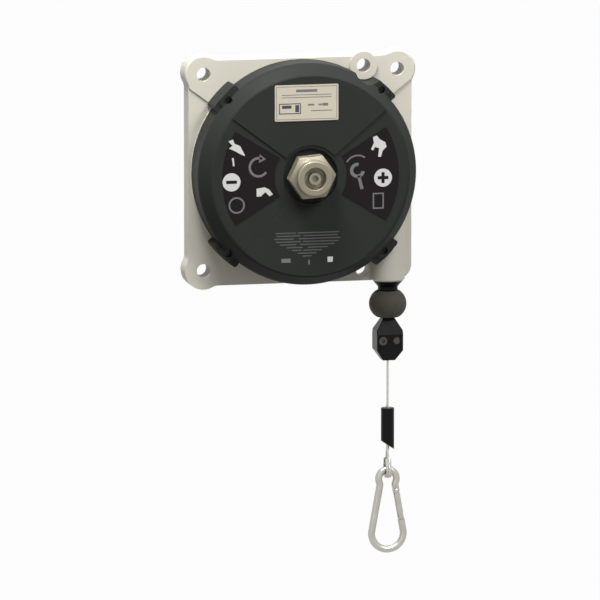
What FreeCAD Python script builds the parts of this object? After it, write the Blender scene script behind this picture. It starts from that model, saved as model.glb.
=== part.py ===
import FreeCAD
import Part
import math
import os

# Tool balancer: a spring-driven rope drum in a square wall housing, with a stop clamp, a rubber
# buffer and a snap hook on its rope.
# Millimetres. +Z is up, the front faces -Y, the wall is the plane Y = 0, and the origin is on the
# drum's axis. Angles are in degrees from +X towards +Z.

V = FreeCAD.Vector
ALONG_Y = V(0, 1, 0)
ALONG_Z = V(0, 0, 1)

# Clearances
seat_gap = 0.05  # radial, between pieces of one body that are pressed or screwed together
run_gap = 0.05  # radial, of a shaft in its bush
free_gap = 0.3  # between faces of bodies that move past each other
end_float = 0.4  # along an axis, between a turning piece and its stop

# Rope and drum
rope_radius = 1.0
rope_on_drum_radius = 70.6
winding_width = 15.0
winding_gap = 0.1
winding_side_gap = 0.3
last_turn_end_angle = 335.0
flange_height = 4.4
rear_flange = 4.5
front_flange = 4.5
drum_web = 4.0
drum_wall = 9.5
spring_cover_thickness = 2.5
spring_cover_land = 6.0
spring_cover_sink = 1.5
spring_cover_hub_radius = 16.0
spring_cover_hub = 2.5
spring_screw_count = 6
spring_screw_radius = 1.25
spring_screw_head = 2.4
spring_screw_head_height = 1.4
spring_screw_length = 8.0
spring_screw_socket = 2.0
drum_bush_wall = 3.0
anchor_radius = 2.5
anchor_rim = 1.2
anchor_angle = 200.0

# Power spring
spring_turns = 4
spring_thickness = 0.8
spring_side_gap = 0.5
spring_start_gap = 1.2
spring_end_gap = 2.0
spring_inner_tab = 4.0
spring_outer_tab = 4.5

# Housing
case_depth = 18.0
case_margin = 2.0
case_wall = 4.0
case_skin = 4.5
back_wall = 3.0
edge_round = 1.5
chamber_gap = 9.0
bolt_inset = 12.0
bolt_hole_radius = 5.5
bolt_boss_radius = 9.0
ear_radius = 15.0
ear_blend = 10.0
hanger_x = 50.6
hanger_z = 81.5
hanger_boss_radius = 11.0
hanger_boss_rise = 1.5
step_depth = 1.0
step_angles = (38.0, 143.0)
rib_thickness = 4.0
rib_angles = (45.0, 135.0, 225.0)

# Front cover
cover_chamfer_height = 11.0
cover_chamfer_width = 8.5
cover_rim_round = 6.0
cover_face_round = 4.0
cover_wall = 3.0
spigot_length = 2.0
spigot_wall = 2.0
raise_height = 0.8
raise_inner_radius = 24.5
raise_edge = 0.5
raised_angles = ((40.0, 143.0), (228.0, 305.0))
recess_radius = 22.0
recess_depth = 3.0
lug_reach = 5.0
lug_step = 1.0
lug_angles = (47.5, 136.5, 223.5, 314.5)
lug_half_angle = 8.0
lug_corner = 2.0
pillar_radius = 7.0
relief_gap = 1.0

# Cover screws
cover_screw_radius = 1.5
cover_screw_head = 2.75
cover_screw_head_height = 3.0
cover_screw_sink = 3.0
cover_screw_end = 9.0
cover_screw_room = 1.0
cover_screw_socket = 2.5
counterbore_gap = 0.4

# Plates and labels on the cover
plate_width = 51.0
plate_height = 28.5
plate_thickness = 0.4
plate_corner = 1.0
plate_x = -3.5
plate_drop = 21.2
label_inner_radius = 29.0
label_inset = 8.5
label_half_angle = 31.5
label_thickness = 0.3

# Tension shaft and its bushes
shaft_radius = 8.0
shaft_step = 1.0
arbor_step = 2.0
shaft_flats = 14.0
square_side = 11.0
shaft_end_gap = 0.5
bush_wall = 2.5
bush_flange = 1.5
bush_flange_radius = 13.0
washer_thickness = 1.0
washer_radius = 14.0
boss_round = 14.0
rear_bore_skin = 2.0
front_boss = 1.5

# Ratchet
ratchet_teeth = 24
ratchet_tip_radius = 21.0
ratchet_root_radius = 18.5
ratchet_thickness = 5.0
circlip_thickness = 1.0
circlip_groove = 1.0
circlip_outer_radius = 10.5
circlip_side_gap = 0.02
circlip_opening_angle = 40.0
pawl_thickness = 0.8
pawl_foot_left = -42.0
pawl_foot_right = -30.0
pawl_foot_rise = 5.6
pawl_tip_rise = 0.8
pawl_tooth_gap = 0.25
pawl_block_depth = 7.0
pawl_screw_places = (-39.0, -33.5)
pawl_screw_radius = 1.25
pawl_screw_head = 2.3
pawl_screw_head_height = 1.6
pawl_screw_length = 5.0

# Adjusting nut
nut_across_flats = 33.0
nut_length = 19.6
nut_ring_radius = 14.3
nut_ring_length = 3.4
nut_neck_radius = 12.8
nut_neck_length = 2.6
nut_shoulder = 4.0
nut_turn = 5.0
nut_hole_radius = 2.5
nut_hole_depth = 5.0
nut_hole_place = 6.6
nut_slope = 0.6
nut_edge = 1.0
nut_recess_radius = 8.8
nut_recess_depth = 6.0
nut_floor = 2.0
nut_screw_radius = 3.0
nut_screw_head = 4.75
nut_screw_head_height = 5.0
nut_screw_length = 14.0
nut_screw_socket = 5.0

# Rope outlet
boss_radius = 13.4
boss_chamfer = 1.2
channel_radius = 5.5
outlet_radius = 12.2
outlet_cone = 5.0
outlet_neck_radius = 7.85
outlet_neck = 3.0
outlet_spigot_radius = 8.0
outlet_spigot = 12.0
outlet_bore_radius = 2.2
outlet_flare_radius = 4.5
outlet_flare = 4.0

# Buffer
buffer_radius = 14.85
buffer_height = 20.9
buffer_end_radius = 9.0
buffer_round = 1.0
buffer_bore_radius = 1.3

# Stop clamp
clamp_height = 34.6
clamp_half_width = 10.6
clamp_half_depth = 9.0
clamp_neck_half = 4.2
clamp_tail_half = 5.0
clamp_shoulder = 10.4
clamp_front_shoulder = 13.5
clamp_taper = 8.4
clamp_round = 0.8
clamp_screw_offset = 5.6
clamp_screw_drop = 18.4
clamp_screw_radius = 2.0
clamp_screw_head = 3.4
clamp_screw_head_height = 3.0
clamp_screw_sunk = 3.6
clamp_screw_socket = 3.0
clamp_screw_socket_depth = 1.8
clamp_nut_across_flats = 5.5
clamp_nut_height = 2.4

# Rope end
tail_gap = 38.5
sleeve_radius = 5.25
sleeve_length = 33.5
sleeve_slant = 7.0
sleeve_lid = 2.0
ferrule_radius = 3.4
ferrule_inset = 0.5
ferrule_socket = 10.0
eye_drop = 16.4
eye_bend_radius = 12.0
eye_bend_height = 20.0
thimble_room = 1.2
thimble_wall = 0.8
thimble_lip = 0.5
thimble_half_width = 2.2
thimble_leg = 8.0

# Snap hook
hook_wire_radius = 2.8
hook_top_radius = 7.2
hook_bottom_radius = 12.9
hook_centres = 43.9
hook_waist = 5.2
hook_neck_round = 5.0
gate_pivot_drop = 4.2
gate_slimmer = 0.2
gate_length = 23.0
gate_tongue_half = 1.2
gate_slot_half = 1.45
gate_end_gap = 0.4
tongue_root = 1.0
nose_tongue = 5.0
nose_tongue_half_width = 1.6
gate_pin_radius = 1.0
gate_pin_inset = 0.2
gate_spring_radius = 0.9
gate_spring_room = 0.2
gate_spring_length = 6.0

# Radii that follow from the sizes above
rope_x = rope_on_drum_radius
rope_y = -case_depth
seat_radius = rope_on_drum_radius - rope_radius - winding_gap
flange_radius = rope_on_drum_radius + flange_height
spring_chamber_radius = seat_radius - drum_wall
spring_cover_radius = spring_chamber_radius + spring_cover_land
spring_screw_circle = spring_chamber_radius + spring_cover_land / 2
chamber_radius = flange_radius + chamber_gap
cover_radius = chamber_radius + case_wall
cover_flat_radius = cover_radius - cover_chamfer_width
label_outer_radius = cover_flat_radius - label_inset
plate_z = cover_flat_radius - plate_drop
lug_radius = cover_radius + lug_reach
case_half = cover_radius + case_margin
bolt_offset = case_half - bolt_inset
boss_bottom = case_half
shaft_drum_radius = shaft_radius + shaft_step
arbor_radius = shaft_drum_radius + arbor_step
drum_bush_outer_radius = shaft_drum_radius + run_gap + drum_bush_wall
spring_start_radius = arbor_radius + spring_start_gap
spring_end_radius = spring_chamber_radius - spring_end_gap
circlip_groove_radius = shaft_radius - circlip_groove
pawl_foot_z = ratchet_tip_radius + pawl_foot_rise
pawl_screw_end = pawl_foot_z - pawl_screw_length
pawl_tip_z = ratchet_root_radius + pawl_tip_rise
gate_wire_radius = hook_wire_radius - gate_slimmer
thimble_inner_radius = hook_wire_radius + thimble_room
eye_radius = thimble_inner_radius + thimble_wall + rope_radius

# Places along the drum's axis, from the wall to the front
winding_back = rope_y + rope_radius + winding_side_gap
winding_front = winding_back - winding_width
drum_back = winding_back + rear_flange
drum_front = winding_front - front_flange
washer_front = drum_back + end_float
rear_boss_face = washer_front + washer_thickness + bush_flange
web_front = drum_back - drum_web
lid_front = drum_front + spring_cover_sink
lid_back = lid_front + spring_cover_thickness
hub_front = lid_front - spring_cover_hub
spring_width = web_front - lid_back - 2 * spring_side_gap
ratchet_back = hub_front - end_float
ratchet_front = ratchet_back - ratchet_thickness
pawl_middle = ratchet_back - ratchet_thickness / 2
circlip_front = ratchet_front - circlip_thickness
front_boss_face = circlip_front - end_float - bush_flange
recess_inside = front_boss_face - front_boss
recess_floor = recess_inside - cover_wall
cover_face = recess_floor - recess_depth
cover_inside = cover_face + cover_wall
raised_face = cover_face - raise_height
rim_front = cover_face + cover_chamfer_height
lug_front = rim_front + lug_step
lug_seat = lug_front + cover_screw_sink + cover_screw_head_height
nut_back = recess_floor - end_float
nut_front = nut_back - nut_length
nut_recess_floor = nut_front + nut_recess_depth
square_end = nut_recess_floor + nut_floor

# Places down the rope
channel_top = -chamber_radius / 3
outlet_bottom = -(boss_bottom + outlet_cone + outlet_neck)
buffer_top = outlet_bottom - free_gap
clamp_top = buffer_top - buffer_height
clamp_bottom = clamp_top - clamp_height
sleeve_top = clamp_bottom - tail_gap
sleeve_bottom = sleeve_top - sleeve_length
ferrule_top = sleeve_top - sleeve_lid - seat_gap
ferrule_bottom = sleeve_bottom + sleeve_slant + ferrule_inset
eye_z = sleeve_bottom - eye_drop
hook_top_centre_z = eye_z - hook_top_radius
hook_bottom_centre_z = hook_top_centre_z - hook_centres
hook_slope = math.asin((hook_bottom_radius - hook_waist) / hook_centres)
hook_neck = math.sqrt(
    (hook_top_radius + hook_neck_round) ** 2 - (hook_waist + hook_neck_round) ** 2
)
gate_pivot = hook_neck + gate_pivot_drop


def polar(radius, degrees, y=0.0):
    """Point at a radius and angle in the plane of that Y."""
    angle = math.radians(degrees)
    return V(radius * math.cos(angle), y, radius * math.sin(angle))


def cylinder_y(x, z, radius, y_front, y_back):
    """Cylinder along Y."""
    return Part.makeCylinder(radius, y_back - y_front, V(x, y_front, z), ALONG_Y)


def cylinder_z(x, y, radius, z_low, z_high):
    """Cylinder along Z."""
    return Part.makeCylinder(radius, z_high - z_low, V(x, y, z_low), ALONG_Z)


def block(x_low, x_high, y_front, y_back, z_low, z_high):
    """Box between two corners."""
    size = V(x_high - x_low, y_back - y_front, z_high - z_low)
    return Part.makeBox(size.x, size.y, size.z, V(x_low, y_front, z_low))


def rounded_face(corners):
    """Flat face from (point, rounding) corners, each rounded by its own radius."""
    bends = []
    for i, (point, rounding) in enumerate(corners):
        before = (corners[i - 1][0] - point).normalize()
        after = (corners[(i + 1) % len(corners)][0] - point).normalize()
        inwards = before + after
        if rounding == 0 or inwards.Length < 1e-6:
            bends.append((point, point, point))
            continue
        half = before.getAngle(after) / 2
        inwards.normalize()
        tangent = rounding / math.tan(half)
        middle = point + inwards * (rounding / math.sin(half) - rounding)
        bends.append((point + before * tangent, middle, point + after * tangent))
    edges = []
    for i, (start, middle, end) in enumerate(bends):
        if start != end:
            edges.append(Part.Arc(start, middle, end).toShape())
        edges.append(Part.makeLine(end, bends[(i + 1) % len(bends)][0]))
    return Part.Face(Part.Wire(edges))


def turned_y(profile):
    """Solid turned about the drum's axis from (radius, y) or (radius, y, rounding) corners."""
    corners = [(V(corner[0], corner[1], 0), sum(corner[2:])) for corner in profile]
    return rounded_face(corners).revolve(V(0, 0, 0), ALONG_Y, 360)


def ring_y(inner, outer, y_front, y_back):
    """Plain ring about the drum's axis."""
    return turned_y([(inner, y_front), (outer, y_front), (outer, y_back), (inner, y_back)])


def turned_z(profile):
    """Solid turned about the hanging rope from (radius, z) points."""
    points = [V(rope_x + radius, rope_y, z) for radius, z in profile]
    face = Part.Face(Part.makePolygon(points + points[:1]))
    return face.revolve(V(rope_x, rope_y, 0), ALONG_Z, 360)


def extruded_y(edges, y_front, y_back):
    """Solid from closed edges in the plane Y = 0."""
    face = Part.Face(Part.Wire(edges))
    face.translate(V(0, y_front, 0))
    return face.extrude(V(0, y_back - y_front, 0))


def polygon_y(points, y_front, y_back):
    """Prism along Y from (x, z) points."""
    corners = [V(x, 0, z) for x, z in points]
    return extruded_y(Part.makePolygon(corners + corners[:1]).Edges, y_front, y_back)


def hexagon_y(x, z, across_flats, y_front, y_back):
    """Hexagonal prism along Y with two corners level."""
    corners = [polar(across_flats / math.sqrt(3), 60 * i) for i in range(6)]
    return polygon_y([(x + p.x, z + p.z) for p in corners], y_front, y_back)


def sector(inner, outer, start, end, y_front, y_back):
    """Ring sector about the drum's axis."""
    middle = (start + end) / 2
    outer_arc = Part.Arc(polar(outer, start), polar(outer, middle), polar(outer, end))
    inner_arc = Part.Arc(polar(inner, end), polar(inner, middle), polar(inner, start))
    edges = [
        outer_arc.toShape(),
        Part.makeLine(polar(outer, end), polar(inner, end)),
        inner_arc.toShape(),
        Part.makeLine(polar(inner, start), polar(outer, start)),
    ]
    return extruded_y(edges, y_front, y_back)


def rounded_corners(plate, corner):
    """Rectangular plate with its four edges along Y rounded."""
    upright = [e for e in plate.Edges if abs(e.tangentAt(e.FirstParameter).y) > 0.9]
    return plate.makeFillet(corner, upright)


def fused(shapes):
    """One solid of several that touch."""
    whole = shapes[0].fuse(shapes[1:]) if len(shapes) > 1 else shapes[0]
    return whole.removeSplitter()


def socket_screw_y(x, z, shank, head, y_head, y_seat, y_end, socket):
    """Cap screw along Y whose head lies between y_head and y_seat."""
    body = fused([cylinder_y(x, z, head, y_head, y_seat), cylinder_y(x, z, shank, y_seat, y_end)])
    return body.cut(hexagon_y(x, z, socket, y_head, (y_head + y_seat) / 2))


# ---------------------------------------------------------------- housing


def ear(side_x, side_z):
    """Rounded corner ear that blends into the plate's straight edges."""
    reach = case_half + ear_blend
    run = math.sqrt((ear_radius + ear_blend) ** 2 - (reach - bolt_offset) ** 2)
    centre = V(side_x * bolt_offset, 0, side_z * bolt_offset)
    blend_x = V(side_x * reach, 0, side_z * (bolt_offset - run))
    blend_z = V(side_x * (bolt_offset - run), 0, side_z * reach)
    foot_x = V(side_x * case_half, 0, blend_x.z)
    foot_z = V(blend_z.x, 0, side_z * case_half)
    join_x = centre + (blend_x - centre).normalize() * ear_radius
    join_z = centre + (blend_z - centre).normalize() * ear_radius
    corner = centre + V(side_x, 0, side_z).normalize() * ear_radius
    inner = V(blend_z.x, 0, blend_x.z)
    bend_x = blend_x + ((foot_x + join_x) * 0.5 - blend_x).normalize() * ear_blend
    bend_z = blend_z + ((foot_z + join_z) * 0.5 - blend_z).normalize() * ear_blend
    edges = [
        Part.makeLine(inner, foot_x),
        Part.Arc(foot_x, bend_x, join_x).toShape(),
        Part.Arc(join_x, corner, join_z).toShape(),
        Part.Arc(join_z, bend_z, foot_z).toShape(),
        Part.makeLine(foot_z, inner),
    ]
    return extruded_y(edges, -case_depth, 0)


def rounded_square(half, corner, y_front, y_back):
    """Square plate with rounded corners."""
    return rounded_corners(block(-half, half, y_front, y_back, -half, half), corner)


def bolt_holes():
    """(x, z) of the bolt holes in the three ears."""
    return [(-bolt_offset, bolt_offset), (bolt_offset, bolt_offset), (-bolt_offset, -bolt_offset)]


def all_holes():
    """(x, z) of every fixing hole of the housing."""
    return bolt_holes() + [(hanger_x, hanger_z), (hanger_x, -hanger_z)]


def lug_screw_points():
    """Centres of the four cover screws."""
    return [polar(cover_radius, angle) for angle in lug_angles]


def lug_sector(inner, outer, angle, y_front, y_back):
    """Ring sector of one screw lug, with its outer corners rounded."""
    start, end = angle - lug_half_angle, angle + lug_half_angle
    lug = sector(inner, outer, start, end, y_front, y_back)
    upright = [e for e in lug.Edges if abs(e.tangentAt(e.FirstParameter).y) > 0.9]
    middle = (inner + outer) / 2
    outside = [e for e in upright if math.hypot(e.CenterOfMass.x, e.CenterOfMass.z) > middle]
    return lug.makeFillet(lug_corner, outside)


def case_pockets():
    """Hollows in the back of the casting, between its walls, bosses and ribs."""
    floor = case_skin - case_depth
    corner = case_half - bolt_offset - case_wall
    pocket = rounded_square(case_half - case_wall, corner, floor, 0)
    kept = [cylinder_y(0, 0, chamber_radius + case_wall, floor, 0)]
    kept += [cylinder_y(x, z, bolt_boss_radius, floor, 0) for x, z in all_holes()]
    kept += [cylinder_y(p.x, p.z, pillar_radius, floor, 0) for p in lug_screw_points()]
    rope_side = rope_x - boss_radius
    kept.append(block(rope_side, case_half, floor, 0, -case_half, -chamber_radius / 2))
    for angle in rib_angles:
        rib = block(chamber_radius, case_half * 1.5, floor, 0, -rib_thickness / 2, rib_thickness / 2)
        rib.rotate(V(0, 0, 0), ALONG_Y, -angle)
        kept.append(rib)
    return pocket.cut(kept)


def case_step():
    """Layer taken off the plate's sides, which leaves the top sector proud."""
    start, end = step_angles
    outer = case_half * 2
    layer = sector(cover_radius, outer, end, start + 360, -case_depth, step_depth - case_depth)
    back = step_depth - case_depth
    pads = [lug_sector(chamber_radius, lug_radius, a, -case_depth, back) for a in lug_angles]
    return layer.cut(pads)


def rope_boss():
    """Half-round boss down which the rope leaves, up to the cover's rim."""
    profile = [
        (0, -boss_bottom),
        (boss_radius - boss_chamfer, -boss_bottom),
        (boss_radius, boss_chamfer - boss_bottom),
        (boss_radius, 0),
        (0, 0),
    ]
    boss = turned_z(profile)
    rim = cylinder_y(0, 0, cover_radius + seat_gap, cover_face, -case_depth)
    lug_room = lug_radius + seat_gap
    lug = lug_sector(chamber_radius, lug_room, lug_angles[3], cover_face, -case_depth)
    inside = cylinder_y(0, 0, chamber_radius, -case_depth, 0)
    return boss.cut([rim, lug, inside])


def base_housing():
    """Square cast housing with the drum's chamber."""
    plate = rounded_square(case_half, case_half - bolt_offset, -case_depth, 0)
    ears = [ear(-1, 1), ear(1, 1), ear(-1, -1)]
    case = fused([plate] + ears)
    front = [f for f in case.Faces if f.CenterOfMass.y < -case_depth + 0.01][0]
    case = case.makeFillet(edge_round, front.OuterWire.Edges)
    case = case.cut([case_step(), case_pockets()])
    rise = -case_depth - hanger_boss_rise
    case = fused([case, cylinder_y(hanger_x, hanger_z, hanger_boss_radius, rise, -case_skin)])
    case = fused([case.cut(cylinder_y(0, 0, chamber_radius, -case_depth * 2, -back_wall)), rope_boss()])
    case = fused([case, cylinder_y(0, 0, boss_round, rear_boss_face, -back_wall)])
    bush_bore = shaft_radius + bush_wall + seat_gap
    spigot_bore = outlet_spigot_radius + seat_gap
    spigot_top = outlet_spigot - boss_bottom
    screw_hole = cover_screw_radius + seat_gap
    screw_room = cover_screw_room - cover_screw_end
    holes = [cylinder_y(x, z, bolt_hole_radius, -case_depth * 2, 0) for x, z in all_holes()]
    holes.append(cylinder_y(0, 0, bush_bore, rear_boss_face, -rear_bore_skin))
    holes.append(cylinder_z(rope_x, rope_y, channel_radius, -boss_bottom, channel_top))
    holes.append(cylinder_z(rope_x, rope_y, spigot_bore, -boss_bottom, spigot_top))
    for p in lug_screw_points():
        holes.append(cylinder_y(p.x, p.z, screw_hole, -case_depth, screw_room))
    for hole in holes:
        case = case.cut(hole)
    return case


def rear_shaft_bush():
    """Flanged bush in the housing's middle boss."""
    inner = shaft_radius + run_gap
    outer = shaft_radius + bush_wall
    barrel = ring_y(inner, outer, rear_boss_face, -rear_bore_skin - seat_gap)
    flange = ring_y(inner, bush_flange_radius, rear_boss_face - bush_flange, rear_boss_face)
    return fused([barrel, flange])


def thrust_washer():
    """Washer between the rear bush and the drum."""
    return ring_y(shaft_radius + run_gap, washer_radius, washer_front, washer_front + washer_thickness)


# ---------------------------------------------------------------- cover


def cover_form():
    """Outer form of the cover: rim, chamfer and face, with rounded edges."""
    return turned_y(
        [
            (0, -case_depth),
            (cover_radius, -case_depth),
            (cover_radius, rim_front, cover_rim_round),
            (cover_flat_radius, cover_face, cover_face_round),
            (0, cover_face),
        ]
    )


def cover_hollow():
    """Room inside the cover."""
    inner_flat = cover_flat_radius - cover_wall / 2
    inside = [
        (0, -case_depth),
        (cover_radius - cover_wall, -case_depth),
        (cover_radius - cover_wall, rim_front + cover_wall / 3),
        (inner_flat, cover_inside),
        (0, cover_inside),
    ]
    return turned_y(inside)


def cover_spigot():
    """Ring that centres the cover in the housing's chamber."""
    outer = chamber_radius - seat_gap
    inner = outer - spigot_wall
    ring = ring_y(inner, outer, -case_depth, spigot_length - case_depth)
    ledge_radius = cover_radius - cover_wall / 2
    ledge = ring_y(inner, ledge_radius, -case_depth - spigot_length, -case_depth)
    return fused([ring, ledge])


def pawl_block():
    """Block inside the cover on which the leaf pawl is screwed."""
    low = pawl_foot_z - pawl_block_depth
    front = cover_inside - cover_wall / 2
    return block(pawl_foot_left, pawl_foot_right, front, ratchet_back, low, pawl_foot_z)


def front_cover():
    """Round cover with its screw lugs, raised sectors and knob recess."""
    form = cover_form()
    parts = [form.cut(cover_hollow()), cover_spigot(), pawl_block()]
    inner = cover_radius - cover_wall
    for angle in lug_angles:
        parts.append(lug_sector(inner, lug_radius, angle, lug_front, -case_depth))
    for p in lug_screw_points():
        parts.append(cylinder_y(p.x, p.z, pillar_radius, rim_front, -case_depth))
    relief_radius = hanger_boss_radius + relief_gap
    wall_round = cylinder_y(hanger_x, hanger_z, relief_radius + cover_wall, rim_front, -case_depth)
    parts.append(wall_round.common(form))
    raised_edge = cover_flat_radius - raise_edge
    root = cover_face + raise_height
    for start, end in raised_angles:
        parts.append(sector(raise_inner_radius, raised_edge, start, end, raised_face, root))
    parts.append(ring_y(shaft_radius, recess_radius + cover_wall, cover_inside, recess_inside))
    parts.append(ring_y(shaft_radius, boss_round, recess_inside, front_boss_face))
    cover = fused(parts)
    cuts = [
        ring_y(lug_radius, lug_radius + pillar_radius, nut_front, 0),
        cylinder_y(0, 0, recess_radius, nut_front, recess_floor),
        cylinder_y(0, 0, shaft_radius + bush_wall + seat_gap, nut_front, 0),
        cylinder_y(hanger_x, hanger_z, relief_radius, nut_front, 0),
        cylinder_z(rope_x, rope_y, channel_radius, -lug_radius, channel_top),
    ]
    for p in lug_screw_points():
        cuts.append(cylinder_y(p.x, p.z, cover_screw_head + counterbore_gap, nut_front, lug_seat))
        cuts.append(cylinder_y(p.x, p.z, cover_screw_radius + seat_gap, lug_seat, 0))
    drill = pawl_screw_radius + seat_gap
    for x in pawl_screw_places:
        cuts.append(cylinder_z(x, pawl_middle, drill, pawl_screw_end - seat_gap, pawl_foot_z))
    return cover.cut(cuts)


def cover_screws():
    """Four cap screws that hold the cover."""
    head = lug_seat - cover_screw_head_height
    size = (cover_screw_radius, cover_screw_head, head, lug_seat, -cover_screw_end)
    screws = [socket_screw_y(p.x, p.z, *size, cover_screw_socket) for p in lug_screw_points()]
    return Part.makeCompound(screws)


def front_shaft_bush():
    """Flanged bush in the cover's middle boss."""
    inner = shaft_radius + run_gap
    barrel = ring_y(inner, shaft_radius + bush_wall, recess_floor, front_boss_face)
    flange = ring_y(inner, bush_flange_radius, front_boss_face, front_boss_face + bush_flange)
    return fused([barrel, flange])


def name_plate():
    """Small metal plate on the cover's raised top sector."""
    left, right = plate_x - plate_width / 2, plate_x + plate_width / 2
    low, high = plate_z - plate_height / 2, plate_z + plate_height / 2
    plate = block(left, right, raised_face - plate_thickness, raised_face, low, high)
    return rounded_corners(plate, plate_corner)


def label(middle):
    """Ring-sector label on the cover's face beside the nut."""
    start = middle - label_half_angle
    end = middle + label_half_angle
    front = cover_face - label_thickness
    return sector(label_inner_radius, label_outer_radius, start, end, front, cover_face)


# ---------------------------------------------------------------- drum


def cable_drum():
    """Rope drum with the chamber for the power spring."""
    bore = drum_bush_outer_radius + seat_gap
    outline = [
        (bore, drum_back),
        (flange_radius, drum_back),
        (flange_radius, winding_back),
        (seat_radius, winding_back),
        (seat_radius, winding_front),
        (flange_radius, winding_front),
        (flange_radius, drum_front),
        (spring_cover_radius + seat_gap, drum_front),
        (spring_cover_radius + seat_gap, lid_back),
        (spring_chamber_radius, lid_back),
        (spring_chamber_radius, web_front),
        (bore, web_front),
    ]
    slot_half = spring_thickness / 2 + free_gap
    slot_end = spring_end_radius + spring_outer_tab + free_gap
    anchor = anchor_point()
    cuts = [
        block(spring_end_radius, slot_end, lid_back, web_front, -slot_half, slot_half),
        cylinder_y(anchor.x, anchor.z, anchor_radius + seat_gap, drum_front, winding_front),
    ]
    for p in spring_screw_points():
        depth = lid_front + spring_screw_length + seat_gap
        cuts.append(cylinder_y(p.x, p.z, spring_screw_radius + seat_gap, drum_front, depth))
    return turned_y(outline).cut(cuts)


def anchor_point():
    """Centre of the rope's end nipple, in the rim of the front flange."""
    return polar(flange_radius - anchor_radius - anchor_rim, anchor_angle)


def spring_screw_points():
    """Centres of the spring cover's screws."""
    step = 360 / spring_screw_count
    return [polar(spring_screw_circle, step * (i + 0.5)) for i in range(spring_screw_count)]


def spring_cover():
    """Lid of the spring chamber, with the hub for the drum's front bush."""
    bore = drum_bush_outer_radius + seat_gap
    disc = ring_y(bore, spring_cover_radius, lid_front, lid_back)
    hub = ring_y(bore, spring_cover_hub_radius, hub_front, lid_front)
    drill = spring_screw_radius + seat_gap
    holes = [cylinder_y(p.x, p.z, drill, lid_front, lid_back) for p in spring_screw_points()]
    return fused([disc, hub]).cut(holes)


def spring_cover_screws():
    """Screws round the spring cover."""
    head = lid_front - spring_screw_head_height
    end = lid_front + spring_screw_length
    size = (spring_screw_radius, spring_screw_head, head, lid_front, end)
    screws = [socket_screw_y(p.x, p.z, *size, spring_screw_socket) for p in spring_screw_points()]
    return Part.makeCompound(screws)


def drum_bush(y_front, y_back):
    """Plain bush between drum and shaft."""
    return ring_y(shaft_drum_radius + run_gap, drum_bush_outer_radius, y_front, y_back)


def rope_winding():
    """Outer shape of the rope's turns on the drum; its last turn ends where the rope leaves."""
    inner = rope_on_drum_radius - rope_radius
    outer = rope_on_drum_radius + rope_radius
    split = rope_y - rope_radius - winding_side_gap
    turns = ring_y(inner, outer, winding_front + winding_side_gap, split)
    last = sector(inner, outer, 0, last_turn_end_angle, split, winding_back - winding_side_gap)
    return fused([turns, last])


def rope_anchor():
    """Nipple that holds the rope's end in the drum's front flange."""
    p = anchor_point()
    return cylinder_y(p.x, p.z, anchor_radius, drum_front, winding_front)


def power_spring():
    """Flat spiral spring as semicircles about two centres, with a tab at each end."""
    half_turns = 2 * spring_turns
    growth = (spring_end_radius - spring_start_radius) / half_turns
    half = spring_thickness / 2
    sides = {1: [], -1: []}
    radius = spring_start_radius + growth / 2
    centre = -growth / 2
    for i in range(half_turns):
        way = 1 if i % 2 == 0 else -1
        for side, arcs in sides.items():
            r = radius + side * half
            start = V(centre + way * r, 0, 0)
            middle = V(centre, 0, way * r)
            end = V(centre - way * r, 0, 0)
            arcs.append(Part.Arc(start, middle, end).toShape())
        radius += growth
        centre += way * growth
    first = [sides[s][0].Vertexes[0].Point for s in (1, -1)]
    last = [sides[s][-1].Vertexes[-1].Point for s in (1, -1)]
    edges = sides[1] + sides[-1] + [Part.makeLine(*first), Part.makeLine(*last)]
    wire = Part.Wire(Part.__sortEdges__(edges))
    front = lid_back + spring_side_gap
    strip = extruded_y(wire.Edges, front, front + spring_width)
    inner_x = (first[0].x + first[1].x) / 2
    outer_x = (last[0].x + last[1].x) / 2
    back = front + spring_width
    inner_tab = block(inner_x - spring_inner_tab, inner_x + half, front, back, -half, half)
    outer_tab = block(outer_x - half, outer_x + spring_outer_tab, front, back, -half, half)
    return fused([strip, inner_tab, outer_tab])


# ---------------------------------------------------------------- tension adjuster


def tension_shaft():
    """Stepped shaft that holds the spring's inner end."""
    profile = [
        (0, -rear_bore_skin - shaft_end_gap),
        (shaft_radius, -rear_bore_skin - shaft_end_gap),
        (shaft_radius, drum_back + free_gap),
        (shaft_drum_radius, drum_back + free_gap),
        (shaft_drum_radius, web_front - free_gap),
        (arbor_radius, web_front - free_gap),
        (arbor_radius, lid_back + free_gap),
        (shaft_drum_radius, lid_back + free_gap),
        (shaft_drum_radius, ratchet_back),
        (shaft_radius, ratchet_back),
        (shaft_radius, ratchet_front),
        (circlip_groove_radius, ratchet_front),
        (circlip_groove_radius, circlip_front),
        (shaft_radius, circlip_front),
        (shaft_radius, nut_back),
        (0, nut_back),
    ]
    half = square_side / 2
    shaft = fused([turned_y(profile), block(-half, half, square_end, nut_back, -half, half)])
    flat = shaft_flats / 2
    side = shaft_radius + 1
    slot_half = spring_thickness / 2 + free_gap / 2
    slot_floor = spring_start_radius - spring_inner_tab - free_gap
    screw_end = nut_recess_floor + nut_screw_length + seat_gap
    cuts = [
        block(flat, side, ratchet_front, ratchet_back, -side, side),
        block(-side, -flat, ratchet_front, ratchet_back, -side, side),
        block(slot_floor, arbor_radius + 1, lid_back, web_front, -slot_half, slot_half),
        cylinder_y(0, 0, nut_screw_radius + seat_gap, square_end, screw_end),
    ]
    return shaft.cut(cuts)


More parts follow.
